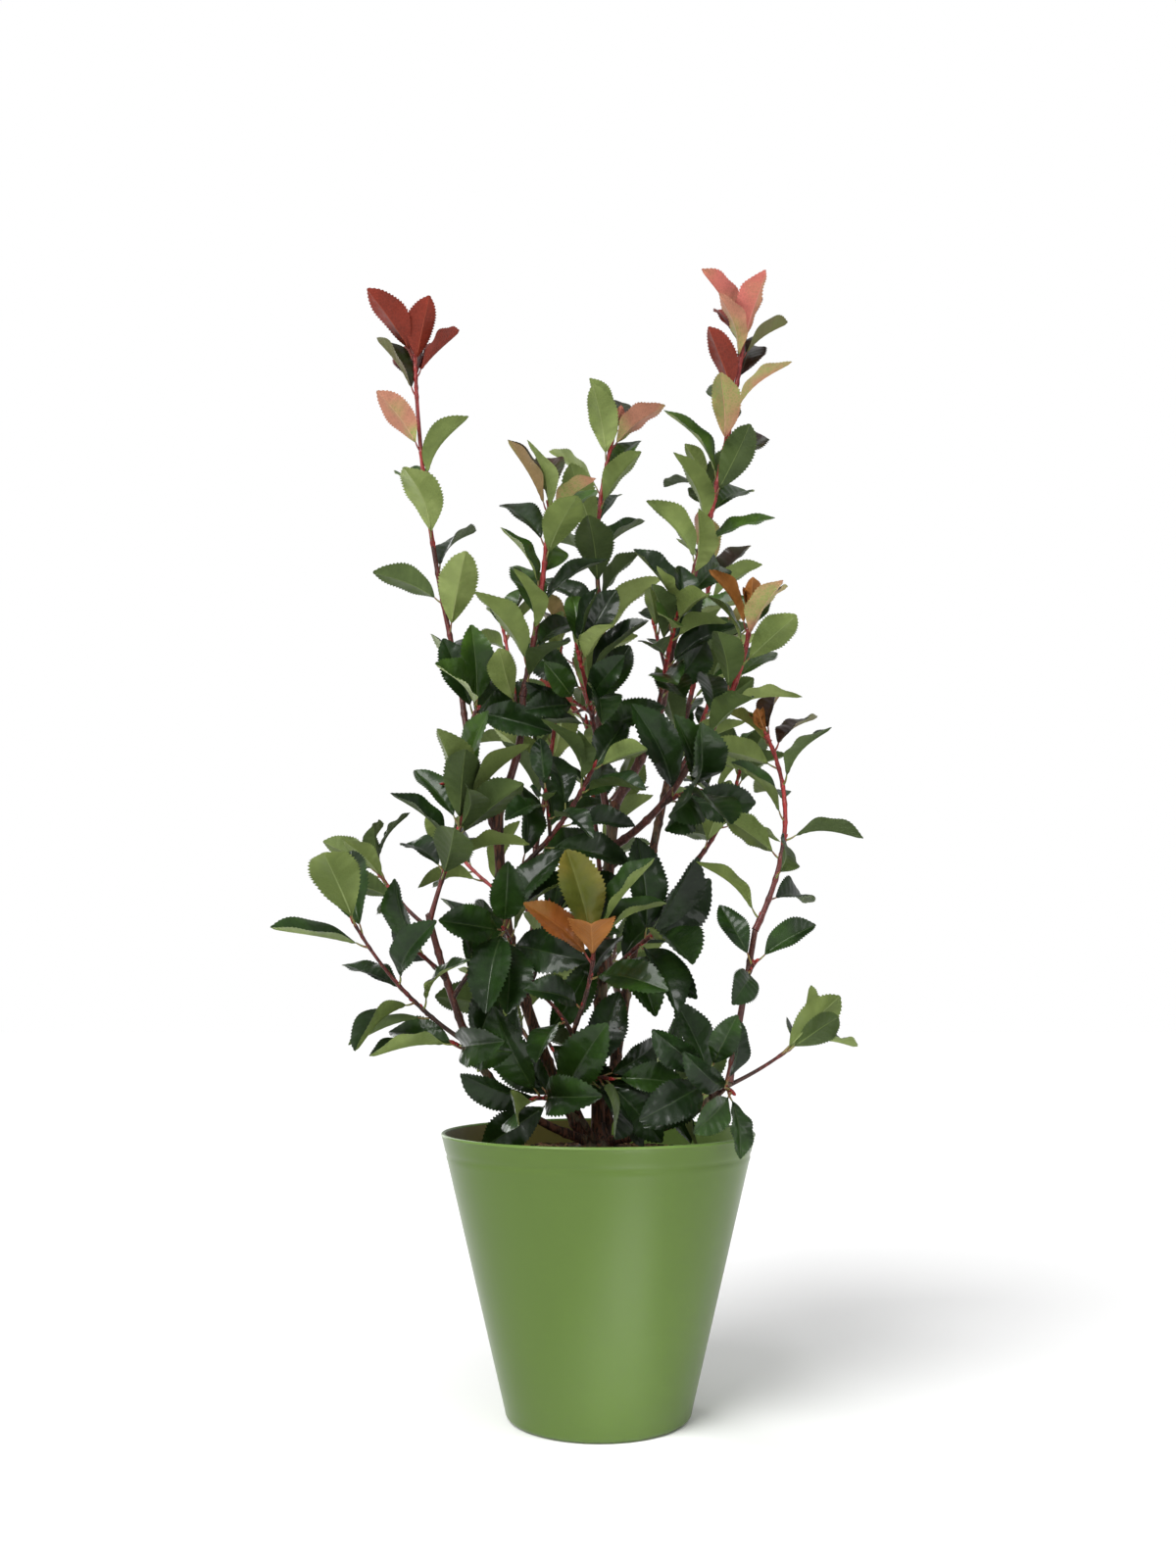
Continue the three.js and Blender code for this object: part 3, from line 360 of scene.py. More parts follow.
def leaf_upper(name, code, patch_code):
    """Waxy upper side: two tones clouded over it, with a leathery grain under its gloss"""
    f = Finish(name, ior=1.3, coat_weight=0.35, coat_roughness=0.1, coat_ior=1.35)
    patch = f.rise(f.noise(18, 1), 0.4, 0.6)
    within = f.rise(f.noise(90, 3), 0.36, 0.64)
    tone = f.mix(patch, shade(code, 0.85), shade(patch_code, 1.1))
    f.feed("Base Color", f.mix(within * 0.4, tone, shade(code, 0.7)))
    f.feed("Roughness", f.noise(120, 2) * 0.2 + 0.27)
    f.relief(f.noise(210, 3), 0.0008, 0.45)
    return f.material


def leaf_under(name, code, patch_code):
    """Matt under side with a net of small veins"""
    f = Finish(name, ior=1.32)
    net = f.rise(f.cells(300), 0.02, 0.2)
    patch = f.rise(f.noise(18, 1), 0.4, 0.6)
    tone = f.mix(patch, shade(code, 0.9), shade(patch_code, 1.12))
    clouded = f.mix(f.rise(f.noise(70, 2), 0.36, 0.64) * 0.3, tone, shade(code, 0.75))
    f.feed("Base Color", f.mix(net * 0.3 + 0.7, shade(code, 1.25), clouded))
    f.feed("Roughness", f.noise(120, 2) * 0.15 + 0.48)
    f.relief(1 - net, 0.0003, 0.12)
    return f.material


def stem_finish(name, code, dark_code):
    """Smooth young wood with darker streaks and pale pores"""
    f = Finish(name, ior=1.45)
    streaks = f.rise(f.noise(260, 3, (1, 1, 0.12)), 0.4, 0.62)
    pores = f.rise(f.cells(700, "F1", (1, 1, 0.6)), 0.12, 0.3)
    wood = f.mix(streaks, tint(code), tint(dark_code))
    f.feed("Base Color", f.mix(pores, tint(toward(code, "b89a80", 0.45)), wood))
    f.feed("Roughness", streaks * 0.2 + 0.36)
    f.relief(f.noise(900, 2, (1, 1, 0.3)), 0.0004, 0.4)
    return f.material


def bark_finish():
    """Old bark: brown with grey-green bloom, cracked along the stem"""
    f = Finish("old_bark", ior=1.4)
    cracks = f.rise(f.noise(420, 4, (1, 1, 0.16)), 0.42, 0.58)
    bloom = f.rise(f.noise(55, 4, (1, 1, 0.5)), 0.5, 0.66)
    brown = f.mix(cracks, tint("33211a"), tint("6a4434"))
    f.feed("Base Color", f.mix(bloom * 0.55, brown, tint("77705a")))
    f.feed("Roughness", cracks * 0.12 + 0.72)
    f.relief(cracks, 0.0009, 0.7)
    return f.material


def pot_finish(name, code, shine):
    """Satin moulded plastic with a very fine grain and faint scuffs"""
    f = Finish(name, ior=1.34, coat_weight=0.03, coat_roughness=0.3)
    clouds = f.rise(f.noise(9, 3, (1, 1, 0.4)), 0.35, 0.65)
    scuffs = f.rise(f.noise(46, 5, (1, 1, 5)), 0.62, 0.72)
    clouded = f.mix(clouds, shade(code, 0.95), tint(code))
    f.feed("Base Color", f.mix(scuffs * 0.12, clouded, shade(code, 1.15)))
    f.feed("Roughness", scuffs * 0.03 + f.noise(30, 3) * 0.06 + shine)
    f.relief(f.noise(1600, 2), 0.0001, 0.1)
    return f.material


def stain_and_painted_light_finish(name, code, stain_and_shade_code):
    """The inside of the planter: duller plastic in a paler green than the outside as painted light, and
    brown on the left that is partly compost stain and partly painted shade
    """
    f = Finish(name, ior=1.4)
    aside = f.node("SeparateXYZ", {}, {0: f.place()})
    # Brown on the left of the planter, with a ragged edge: compost stain and painted shade of the inside's
    # left
    stain_and_painted_shade = f.rise(f.noise(24, 5) * 0.12 - aside, 0.03, 0.07)
    f.feed("Base Color", f.mix(stain_and_painted_shade * 0.92, tint(code), tint(stain_and_shade_code)))
    f.feed("Roughness", f.noise(40, 3) * 0.2 + 0.4)
    f.relief(f.noise(700, 3), 0.0003, 0.3)
    return f.material


def compost_finish(name, dark_code, light_code):
    """Crumbly brown peat and bark"""
    f = Finish(name, ior=1.35)
    crumbs = f.cells(260, "F1")
    patches = f.rise(f.noise(90, 5), 0.4, 0.62)
    f.feed("Base Color", f.mix(patches, tint(dark_code), tint(light_code)))
    f.feed("Roughness", patches * 0.1 + 0.85)
    f.relief(crumbs + f.noise(600, 4), 0.0016, 0.8)
    return f.material


# ------------------------------------------------------------------ the rule of growth

FACTOR, STEP, RANGE = 1664525, 1013904223, 4294967296  # a plain congruential rule


def seeded(seed):
    """Repeatable numbers from 0 to 1"""
    state = seed

    def draw():
        nonlocal state
        state = (state * FACTOR + STEP) % RANGE
        return state / RANGE
    return draw


def lerp(low, high, t):
    return (1 - t) * low + t * high


def between(span, draw):
    return lerp(span[0], span[1], draw())


def stray(width, draw):
    return width * (draw() - 0.5)


def unit(v):
    return v / np.linalg.norm(v, axis=-1, keepdims=True)


class Limb:
    """A tapering arc from `start` to `start + reach`, its middle pushed aside by `bow`"""

    def __init__(self, start, reach, bow, radius):
        self.start = np.array(start, float)
        self.reach = np.array(reach, float)
        self.bow = np.array(bow, float)
        self.radii = radius
        self.length = float(np.linalg.norm(self.reach))

    def point(self, t):
        t = np.asarray(t, float)[..., None]
        return self.start + self.reach * t + self.bow * 4 * t * (1 - t)

    def tangent(self, t):
        t = np.asarray(t, float)[..., None]
        return unit(self.reach + self.bow * 4 * (1 - 2 * t))

    def radius(self, t):
        return lerp(self.radii[0], self.radii[1], t)

    def frame(self, t):
        """Along the limb, and two directions square to it: the first is nearest to +X"""
        along = self.tangent(t)
        sideways = np.abs(along[..., :1]) >= SIDEWAYS
        base = np.where(sideways, np.array([0.0, 0.0, 1.0]), np.array([1.0, 0.0, 0.0]))
        right = unit(base - along * np.sum(base * along, axis=-1, keepdims=True))
        return along, right, np.cross(along, right)

    def heading(self, t, turn, rise):
        """Direction at `rise` degrees from the limb and `turn` degrees around it"""
        along, right, back = self.frame(t)
        turn, rise = math.radians(turn), math.radians(rise)
        aside = right * math.cos(turn) + back * math.sin(turn)
        return along * math.cos(rise) + aside * math.sin(rise)

    def stations(self):
        """Points that stand for the limb when leaves keep clear of it, and the radius at each"""
        count = max(2, math.floor(self.length / STATION + 0.5))
        t = np.linspace(0, 1, count + 1)
        return self.point(t), self.radius(t)


def outline(s):
    """Half width over the widest, along the blade"""
    return np.sin(np.pi * s ** LEAF.lean) ** LEAF.fullness


class Leaf:
    """A blade on the axis of its stem: `aim` along it, `face` out of its upper side"""

    def __init__(self, stem, t, mass, aim, face, length, curl, set_back=0):
        self.stem = stem
        self.t = t
        self.mass = mass
        self.root = stem.point(t) - aim * set_back
        self.aim = aim
        self.face = face
        self.side = np.cross(face, aim)
        self.length = length
        self.half_width = length * LEAF.width / 2
        self.curl = curl
        self.in_tuft = False

    def place(self, s, across):
        """Points of the blade: `s` goes from 0 to 1 along it and `across` from -1 to 1"""
        s, across = np.asarray(s, float), np.asarray(across, float)
        half = self.half_width * outline(s)
        reach = LEAF.petiole + self.length * s * (1 - LEAF.shorter * self.curl * s)
        droop = self.length * self.curl * s * s + LEAF.fold * half * (1 - np.abs(across))
        return (self.root + self.aim * reach[..., None] - self.face * droop[..., None]
                + self.side * (half * across)[..., None])

    def samples(self):
        rows, columns = np.meshgrid(SAMPLE_ROWS, SAMPLE_COLUMNS, indexing="ij")
        return self.place(rows.ravel(), columns.ravel())


def pot_radius(z):
    return POT.foot + (POT.rim - POT.foot) / POT.height * z


class Plant:
    """Everything that has grown so far, and the tests that a new leaf has to pass"""

    def __init__(self):
        self.limbs = {}
        self.shoots = {}
        self.leaves = []
        self.points = np.zeros((0, len(SAMPLE_ROWS) * len(SAMPLE_COLUMNS), 3))
        self.centres = np.zeros((0, 3))
        self.spans = np.zeros(0)
        self.owners = []
        self.wood = {}
        self.twigs = []

    def limb_of(self, plan):
        """The planned limb; one that carries on from its parent's tip stands a gap clear of it"""
        if plan.on:
            parent = self.limbs[plan.on]
            foot = parent.point(plan.at)
            if plan.at == 1:
                foot = foot + unit(np.array(plan.reach, float)) * GAP
        else:
            foot = plan.foot
        return Limb(foot, plan.reach, plan.bow, plan.radius)

    def add_wood(self, owner, limb):
        self.wood.setdefault(owner, []).append(limb.stations())

    def clear_of_planter(self, points):
        z = points[:, 2]
        r = np.hypot(points[:, 0], points[:, 1])
        outside = r > pot_radius(np.minimum(z, POT.height)) + CLEAR.pot
        low = (z < POT.height + CLEAR.pot) & ~outside
        inside = (r < pot_radius(z) - POT.wall - CLEAR.pot) & (z > SOIL.top + SOIL.mound + CLEAR.soil)
        return bool(np.all(np.where(low, inside, z > 0)))

    def clear_of_wood(self, points, mass):
        for owner, parts in self.wood.items():
            if owner == mass:
                continue
            for places, radii in parts:
                away = np.linalg.norm(points[:, None] - places[None], axis=2)
                if not np.all(away > radii[None] + CLEAR.stem):
                    return False
        return True

    def clear_of_leaves(self, points, centre, span, mass):
        if not self.owners:
            return True
        away = np.linalg.norm(self.centres - centre, axis=1)
        for i in np.flatnonzero(away <= span + self.spans + CLEAR.other_leaf):
            own = self.owners[i] == mass  # these may meet at their feet
            skip = FOOT_SAMPLES if own else 0
            apart = np.linalg.norm(points[skip:, None] - self.points[i][None, skip:], axis=2)
            if apart.min() < (CLEAR.own_leaf if own else CLEAR.other_leaf):
                return False
        return True

    def settle(self, leaf, mass):
        """Keeps a leaf that is clear of everything, and says whether it was"""
        points = leaf.samples()
        centre = leaf.place(0.5, 0)
        span = leaf.length * HALF_SPAN
        free = (self.clear_of_planter(points) and self.clear_of_wood(points, mass)
                and self.clear_of_leaves(points, centre, span, mass))
        if free:
            self.points = np.concatenate([self.points, points[None]])
            self.centres = np.concatenate([self.centres, centre[None]])
            self.spans = np.append(self.spans, span)
            self.owners.append(mass)
        return free

    def leaf_on(self, stem, t, turn, rise, length, curl, roll, mass):
        """One leaf on a stem: turned aside until it is clear, or left out"""
        for extra in TURNS:
            aim = stem.heading(t, turn + extra, rise)
            along = stem.tangent(t)
            upper = unit(along - aim * np.dot(along, aim))
            angle = math.radians(roll)
            face = upper * math.cos(angle) + np.cross(aim, upper) * math.sin(angle)
            leaf = Leaf(stem, t, mass, aim, face, length, curl)
            if self.settle(leaf, mass):
                return [leaf]
        return []

    def leaves_on(self, stem, plan, draw):
        """The leaves round a stem's end come first, then the others from its tip to its foot"""
        grown = []
        for i in range(plan.tuft):
            turn = plan.turn + 360 / plan.tuft * i + stray(TUFT.stray, draw)
            rise = between(TUFT.rise, draw)
            length = plan.tip * between(TUFT.scale, draw)
            roll = stray(TUFT.roll, draw)
            curl = between(TUFT.curl, draw)
            t = TUFT.at - TUFT.step * i / stem.length
            grown += self.leaf_on(stem, t, turn, rise, length, curl, roll, plan.name)
        for leaf in grown:
            leaf.in_tuft = True
        for i in range(plan.leaves):
            t = lerp(plan.span[1], plan.span[0], (i + 0.5) / plan.leaves)
            turn = plan.turn - LEAF.spiral * (plan.leaves - i) + stray(ALONG.stray, draw)
            rise = lerp(*plan.rise, t) + between(ALONG.rise, draw)
            length = lerp(*plan.size, t) * between(ALONG.scale, draw)
            curl = between(ALONG.curl, draw)
            roll = stray(ALONG.roll, draw)
            grown += self.leaf_on(stem, t, turn, rise, length, curl, roll, plan.name)
        return grown

    def sprig_on(self, stem, plan, draw):
        """Leaves of a short straight side twig, which is left out where it isn't clear"""
        t = between(SPRIG.start, draw)
        turn = 360 * draw()
        reach = stem.heading(t, turn, SPRIG.rise) * between(SPRIG.length, draw)
        twig = Limb(stem.point(t), reach, (0, 0, 0), SPRIG.radius)
        spots = twig.stations()[0]
        if not (self.clear_of_wood(spots, plan.name) and self.clear_of_planter(spots)):
            return []
        self.add_wood(plan.name, twig)
        self.twigs.append((plan.name, twig))
        return self.leaves_on(twig, plan._replace(**SPRIG_LEAVES), draw)

    def grow(self):
        for plan in LIMBS:
            self.limbs[plan.name] = self.limb_of(plan)
        for plan in SHOOTS:
            self.shoots[plan.name] = self.limb_of(plan)
        for name, limb in [*self.limbs.items(), *self.shoots.items()]:
            self.add_wood(name, limb)
        for plan in SHOOTS:
            stem, draw = self.shoots[plan.name], seeded(plan.seed)
            side = []
            for _ in range(plan.sprigs):
                side += self.sprig_on(stem, plan, draw)
            main = self.leaves_on(stem, plan, draw)
            self.paint(plan.name, main, side)
            self.leaves += main + side

    def paint(self, name, main, side):
        """Deals each leaf its tone: young ones at the tip of the shoot, greens below"""
        draw = seeded(len(self.leaves) + SEEDS.tones)
        young = YOUNG.get(name, ())
        for i, leaf in enumerate(main + side):
            greens = LOW_GREENS if leaf.place(0.5, 0)[2] < LOW_CROWN else HIGH_GREENS
            leaf.tone = young[i] if i < len(young) else greens[int(draw() * len(greens))]


# ------------------------------------------------------------------ meshes

def grid_faces(rows, columns, closed=False):
    """Four-cornered faces over a grid of points, joined round in its columns if `closed`"""
    across = columns if closed else columns - 1
    row, column = np.meshgrid(np.arange(rows - 1), np.arange(across), indexing="ij")
    this, above = row.ravel() * columns, (row.ravel() + 1) * columns
    here, after = column.ravel(), (column.ravel() + 1) % columns
    return np.stack([this + here, this + after, above + after, above + here], axis=1)


def put(name, data):
    """A new object in the scene"""
    thing = bpy.data.objects.new(name, data)
    bpy.context.scene.collection.objects.link(thing)
    return thing


class Piece:
    """A mesh gathered from many parts, in millimetres"""

    def __init__(self, name, materials):
        self.name = name
        self.materials = materials
        self.points = []
        self.faces = []
        self.kinds = []
        self.count = 0
        self.nodes = set()

    def add(self, points, faces, kind=0):
        self.points.append(points)
        self.faces.append(faces + self.count)
        self.kinds.append(np.broadcast_to(np.asarray(kind, np.int32), (len(faces),)))
        self.count += len(points)

    def build(self, nodes, smooth=True):
        points = np.concatenate(self.points).astype(np.float32) * MM
        faces = np.concatenate(self.faces).astype(np.int32)
        mesh = bpy.data.meshes.new(self.name)
        mesh.vertices.add(len(points))
        mesh.vertices.foreach_set("co", points.ravel())
        mesh.loops.add(faces.size)
        mesh.loops.foreach_set("vertex_index", faces.ravel())
        mesh.polygons.add(len(faces))
        mesh.polygons.foreach_set("loop_start", np.arange(0, faces.size, 4, dtype=np.int32))
        mesh.polygons.foreach_set("material_index", np.concatenate(self.kinds))
        mesh.polygons.foreach_set("use_smooth", np.full(len(faces), smooth))
        for material in self.materials:
            mesh.materials.append(material)
        mesh.update(calc_edges=True)
        thing = put(self.name, mesh)
        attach(thing, "root")
        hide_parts(*sorted(nodes))


def turned(profile, segments):
    """Points of [radius, height] pairs turned about the Z axis, and their faces"""
    angles = np.arange(segments) * 2 * np.pi / segments
    radius, height = np.array(profile, float).T
    points = np.stack([np.outer(radius, np.cos(angles)), np.outer(radius, np.sin(angles)),
                       np.repeat(height[:, None], segments, axis=1)], axis=2)
    return points.reshape(-1, 3), grid_faces(len(profile), segments, closed=True)


def arc(centre_r, centre_z, radius, start, end, steps):
    """Profile points on part of a circle, from `start` to `end` degrees"""
    angles = np.radians(np.linspace(start, end, steps + 1))
    return [(centre_r + radius * math.cos(a), centre_z + radius * math.sin(a)) for a in angles]


def eased(t):
    """From 0 to 1 as `t` does, but level at both"""
    return t * t * (3 - 2 * t)


class Grain:
    """Smooth random bumps that join up round a stem"""

    def __init__(self, seed, around, lengths):
        self.table = np.random.default_rng(seed).random((around, lengths))

    def pick(self, row, column):
        rows, columns = self.table.shape
        return self.table[row % rows, column % columns]

    def at(self, around, along):
        """Value from -1 to 1; `around` goes from 0 to 1 and `along` counts lengths"""
        around = around * len(self.table)
        row, column = np.floor(around).astype(int), np.floor(along).astype(int)
        aside, ahead = eased(around - row), eased(along - column)
        low = lerp(self.pick(row, column), self.pick(row + 1, column), aside)
        high = lerp(self.pick(row, column + 1), self.pick(row + 1, column + 1), aside)
        return 2 * lerp(low, high, ahead) - 1


RIDGES = Grain(3, 9, 64)
CRACKS = Grain(5, 21, 128)
WAVES = Grain(7, 3, 32)

# A stem's skin: the share of each grain and the length of its bumps, and swellings as shares of
# the radius, each with its length along the stem
SKIN = SimpleNamespace(ridges=0.5, ridge_length=16, cracks=0.3, crack_length=6, waves=0.6,
                       wave_length=45, collar=0.35, collar_length=9, knot=0.22, knot_length=2.6)
END = SimpleNamespace(height=0.5, shoulder=0.45)  # of a stem's rounded end, over its radius

# How finely each kind of stem is made, and how rough its skin is over its radius
TRUNK = SimpleNamespace(sides=22, pitch=1.8, rough=0.09)
BOUGH = SimpleNamespace(sides=16, pitch=1.8, rough=0.05)
STUB = SimpleNamespace(sides=14, pitch=1.5, rough=0.08)
TWIG = SimpleNamespace(sides=12, pitch=1.6, rough=0.04)


def stem_tube(limb, kind, knots):
    """A limb's skin: ridged bark, a collar at its foot and a swelling at every knot"""
    count = max(4, int(limb.length / kind.pitch))
    t = np.linspace(0, 1, count + 1)
    far = t * limb.length
    around = np.arange(kind.sides) / kind.sides
    shift = limb.start.sum()  # so that no two limbs have the same bumps
    u, v = np.meshgrid(around, far + shift, indexing="xy")
    relief = SKIN.ridges * RIDGES.at(u, v / SKIN.ridge_length)
    relief += SKIN.cracks * CRACKS.at(u, v / SKIN.crack_length)
    relief += SKIN.waves * WAVES.at(u, v / SKIN.wave_length)
    swell = 1 + kind.rough * relief + SKIN.collar * np.exp(-far / SKIN.collar_length)[:, None]
    for knot in knots:
        away = (far - knot * limb.length) / SKIN.knot_length
        swell = swell + SKIN.knot * np.exp(-(away ** 2))[:, None]
    radius = limb.radius(t)[:, None] * swell
    along, right, back = limb.frame(t)
    turn = 2 * np.pi * around[None, :, None]
    spokes = right[:, None] * np.cos(turn) + back[:, None] * np.sin(turn)
    points = limb.point(t)[:, None] + spokes * radius[..., None]
    tip = limb.point(1) + along[-1] * limb.radii[1] * END.height
    shoulder = lerp(points[-1], tip, END.shoulder)
    points = np.concatenate([points, shoulder[None], np.broadcast_to(tip, (1, kind.sides, 3))])
    return points.reshape(-1, 3), grid_faces(len(points), kind.sides, closed=True)


# ------------------------------------------------------------------ leaves in full outline

BLADE = SimpleNamespace(
    rows=46,
    ends=(0.012, 0.997),  # first and last row
    sides=(0.14, 0.42, 0.72, 1),  # columns on each half, over half the width
    point=0.35,  # share of the width that its short point takes off
    point_from=0.86,
    thick=0.45,
    thin_below=4,  # half width under which it is thinner too
    rib=0.75,  # half width of the midrib at its foot
    rib_taper=0.75,
    rib_share=0.3,  # most of the half width that the midrib may take
    rib_depth=0.8,
    rib_reach=1.01,  # how far it is this deep, over its half width
    tooth=0.12,  # depth of a tooth over half the width
    tooth_lean=0.4,  # how far it points forward, in rows
    teeth_from=0.1,
    fold=(18, 50),  # degrees that each half stands up from the midrib
    narrowing=0.75,  # share of the fold that narrows the blade
    young_fold=(30, 58),  # both the same in a tuft
    young_narrowing=0.4,
    wave=1.6,  # height of the waves of its edge
    waves=(1.5, 3),  # how many there are
    edge_drop=0.08,  # how far its edge turns down, over half the width
    veins=8,
    vein_slant=1.1,  # how far a vein runs forward to the edge, in veins
    vein_start=0.2,
    vein_depth=0.5,
    twist=12,  # most degrees that it twists either way
    arch=(0.03, 0.1),  # how far its middle stands up, over its length
)
# The stalk; `inside` is how deep in the stem it starts, over the stem's radius
PETIOLE = SimpleNamespace(steps=5, sides=6, radius=(1.25, 0.75), sag=0.8, inside=0.3)


def blade_outline(s):
    """The same blade as `outline`, drawn out to a short point at its tip"""
    near_tip = np.clip((s - BLADE.point_from) / (1 - BLADE.point_from), 0, 1)
    return outline(s) * (1 - BLADE.point * near_tip ** 2)


def blade_grid(leaf, draw):
    """Points of the upper side, and under them those of the lower side"""
    rows = BLADE.rows
    along = np.linspace(*BLADE.ends, rows + 1)
    half = leaf.half_width * blade_outline(along)
    rib = np.minimum(BLADE.rib * (1 - BLADE.rib_taper * along), half * BLADE.rib_share) / half
    columns = [-np.full_like(along, x) for x in reversed(BLADE.sides)] + [-rib, rib]
    columns += [np.full_like(along, x) for x in BLADE.sides]
    across = np.stack(columns, axis=1)
    aside = np.abs(across)
    along, half, rib = along[:, None], half[:, None], rib[:, None]

    # Teeth on every other row of the edge, and the fold that narrows the blade
    edge = np.isclose(aside, 1)
    toothed = edge & (np.arange(rows + 1) % 2 == 1)[:, None] & (along > BLADE.teeth_from)
    fold = math.radians(between(BLADE.young_fold if leaf.in_tuft else BLADE.fold, draw))
    narrowing = BLADE.young_narrowing if leaf.in_tuft else BLADE.narrowing
    wide = half * across * np.where(toothed, 1 + BLADE.tooth, 1) * math.cos(fold * narrowing)
    along = along + np.where(toothed, BLADE.tooth_lean / rows, 0)

    # Height over the midrib: fold, waves of the edge, side veins and an edge turned down
    phase, count = draw(), between(BLADE.waves, draw)
    waves = np.sin(2 * np.pi * (count * along + phase)) * half / leaf.half_width
    veins = BLADE.veins * along - BLADE.vein_slant * aside + BLADE.vein_start
    lift = half * (math.sin(fold) * aside - LEAF.fold)
    lift += BLADE.wave * waves * aside ** 2
    lift += BLADE.vein_depth * np.cos(2 * np.pi * veins) * np.sin(np.pi * aside)
    lift -= BLADE.edge_drop * half * aside ** 4

    # Along its length it arches, curls down and twists
    twist = math.radians(stray(2 * BLADE.twist, draw)) * along
    arch = between(BLADE.arch, draw)
    bend = 2 * leaf.curl * along - np.pi * arch * np.cos(np.pi * along)
    normal = unit(leaf.face * np.cos(bend)[..., None] + leaf.aim * np.sin(bend)[..., None])
    side = leaf.side * np.cos(twist)[..., None] + normal * np.sin(twist)[..., None]
    normal = normal * np.cos(twist)[..., None] - leaf.side * np.sin(twist)[..., None]
    reach = LEAF.petiole + leaf.length * along * (1 - LEAF.shorter * leaf.curl * along)
    droop = leaf.length * (leaf.curl * along ** 2 - arch * np.sin(np.pi * along))
    upper = leaf.root + leaf.aim * reach[..., None] - leaf.face * droop[..., None]
    upper = upper + side * wide[..., None] + normal * lift[..., None]

    on_rib = aside <= rib * BLADE.rib_reach
    depth = np.where(edge, 0, BLADE.thick) + np.where(on_rib, BLADE.rib_depth, 0)
    lower = upper - normal * (depth * np.minimum(1, half / BLADE.thin_below))[..., None]
    return upper, lower


def stalk(leaf, foot):
    """The leaf's stalk, from inside its stem to the foot of its blade"""
    t = np.linspace(0, 1, PETIOLE.steps + 1)[:, None]
    start = leaf.root + leaf.aim * leaf.stem.radius(leaf.t) * PETIOLE.inside
    line = lerp(start, foot, t) - leaf.face * np.sin(np.pi * t) * PETIOLE.sag
    turn = np.arange(PETIOLE.sides) * 2 * np.pi / PETIOLE.sides
    spokes = leaf.side * np.cos(turn)[:, None] + leaf.face * np.sin(turn)[:, None]
    points = line[:, None] + spokes[None] * lerp(*PETIOLE.radius, t)[..., None]
    return points.reshape(-1, 3), grid_faces(PETIOLE.steps + 1, PETIOLE.sides, closed=True)


UPPER, UNDER, UPPER_RIB, UNDER_RIB, STALK = range(5)  # materials of a leaf, in their order


def add_leaf(piece, leaf, draw):
    upper, lower = blade_grid(leaf, draw)
    rows, columns = upper.shape[:2]
    faces = grid_faces(rows, columns)
    rib = columns // 2 - 1
    on_rib = np.arange(len(faces)) % (columns - 1) == rib
    piece.add(upper.reshape(-1, 3), faces[:, [0, 3, 2, 1]], np.where(on_rib, UPPER_RIB, UPPER))
    piece.add(lower.reshape(-1, 3), faces, np.where(on_rib, UNDER_RIB, UNDER))
    piece.add(*stalk(leaf, lerp(upper[0, rib], lower[0, rib], 0.5)), STALK)
    piece.nodes.add(leaf.mass)


LEAVES_A_PIECE = 90  # keeps each piece well under 200,000 triangles
GREEN_STALKED = ("deep", "leaf", "fresh", "olive")


def build_leaves(plant):
    stalk_red = stem_finish("leaf_stalk_red", "8d3c33", "6b2a26")
    stalk_green = stem_finish("leaf_stalk_green", "7c8346", "7a4a34")
    draw = seeded(SEEDS.blades)
    for tone, (upper, upper_patch, under, under_patch, vein) in TONES.items():
        leaves = [leaf for leaf in plant.leaves if leaf.tone == tone]
        upper_rib = toward(upper, vein, UPPER_VEIN)
        under_rib = toward(under, vein, UNDER_VEIN)
        materials = [leaf_upper(f"{tone}_upper", upper, upper_patch),
                     leaf_under(f"{tone}_under", under, under_patch),
                     leaf_upper(f"{tone}_upper_rib", upper_rib, upper_rib),
                     leaf_under(f"{tone}_under_rib", under_rib, under_rib),
                     stalk_green if tone in GREEN_STALKED else stalk_red]
        for start in range(0, len(leaves), LEAVES_A_PIECE):
            piece = Piece(f"leaves_{tone}_{start // LEAVES_A_PIECE + 1}", materials)
            for leaf in leaves[start:start + LEAVES_A_PIECE]:
                add_leaf(piece, leaf, draw)
            piece.build(piece.nodes)


# ------------------------------------------------------------------ wood

# Half outline of a bud: share of its length, and of its width
BUD_PROFILE = np.array([(0.0, 0.5), (0.25, 1.0), (0.6, 0.8), (0.85, 0.4), (1.0, 0.02)])
BUD_SIDES = 6
END_BUD = SimpleNamespace(length=9, width=1.9)
# In the angle between a leaf and its stem: how far `out` from the axis over the stem's radius,
# `above` the leaf, and `lean`, its share of the leaf's direction
SIDE_BUD = SimpleNamespace(length=4.5, width=1.3, out=0.7, back=0.2, above=2.5, lean=0.5)


def bud(centre, aim, side, size):
    """A small pointed bud"""
    turn = np.arange(BUD_SIDES) * 2 * np.pi / BUD_SIDES
    other = np.cross(aim, side)
    spokes = side * np.cos(turn)[:, None] + other * np.sin(turn)[:, None]
    line = centre + aim * (BUD_PROFILE[:, :1] * size.length)
    points = line[:, None] + spokes[None] * (BUD_PROFILE[:, 1] * size.width)[:, None, None]
    return points.reshape(-1, 3), grid_faces(len(BUD_PROFILE), BUD_SIDES, closed=True)


def side_bud(leaf):
    along = leaf.stem.tangent(leaf.t)
    out = unit(leaf.aim - along * SIDE_BUD.back)
    foot = leaf.root + out * leaf.stem.radius(leaf.t) * SIDE_BUD.out + along * SIDE_BUD.above
    return bud(foot, unit(along + leaf.aim * SIDE_BUD.lean), leaf.side, SIDE_BUD)


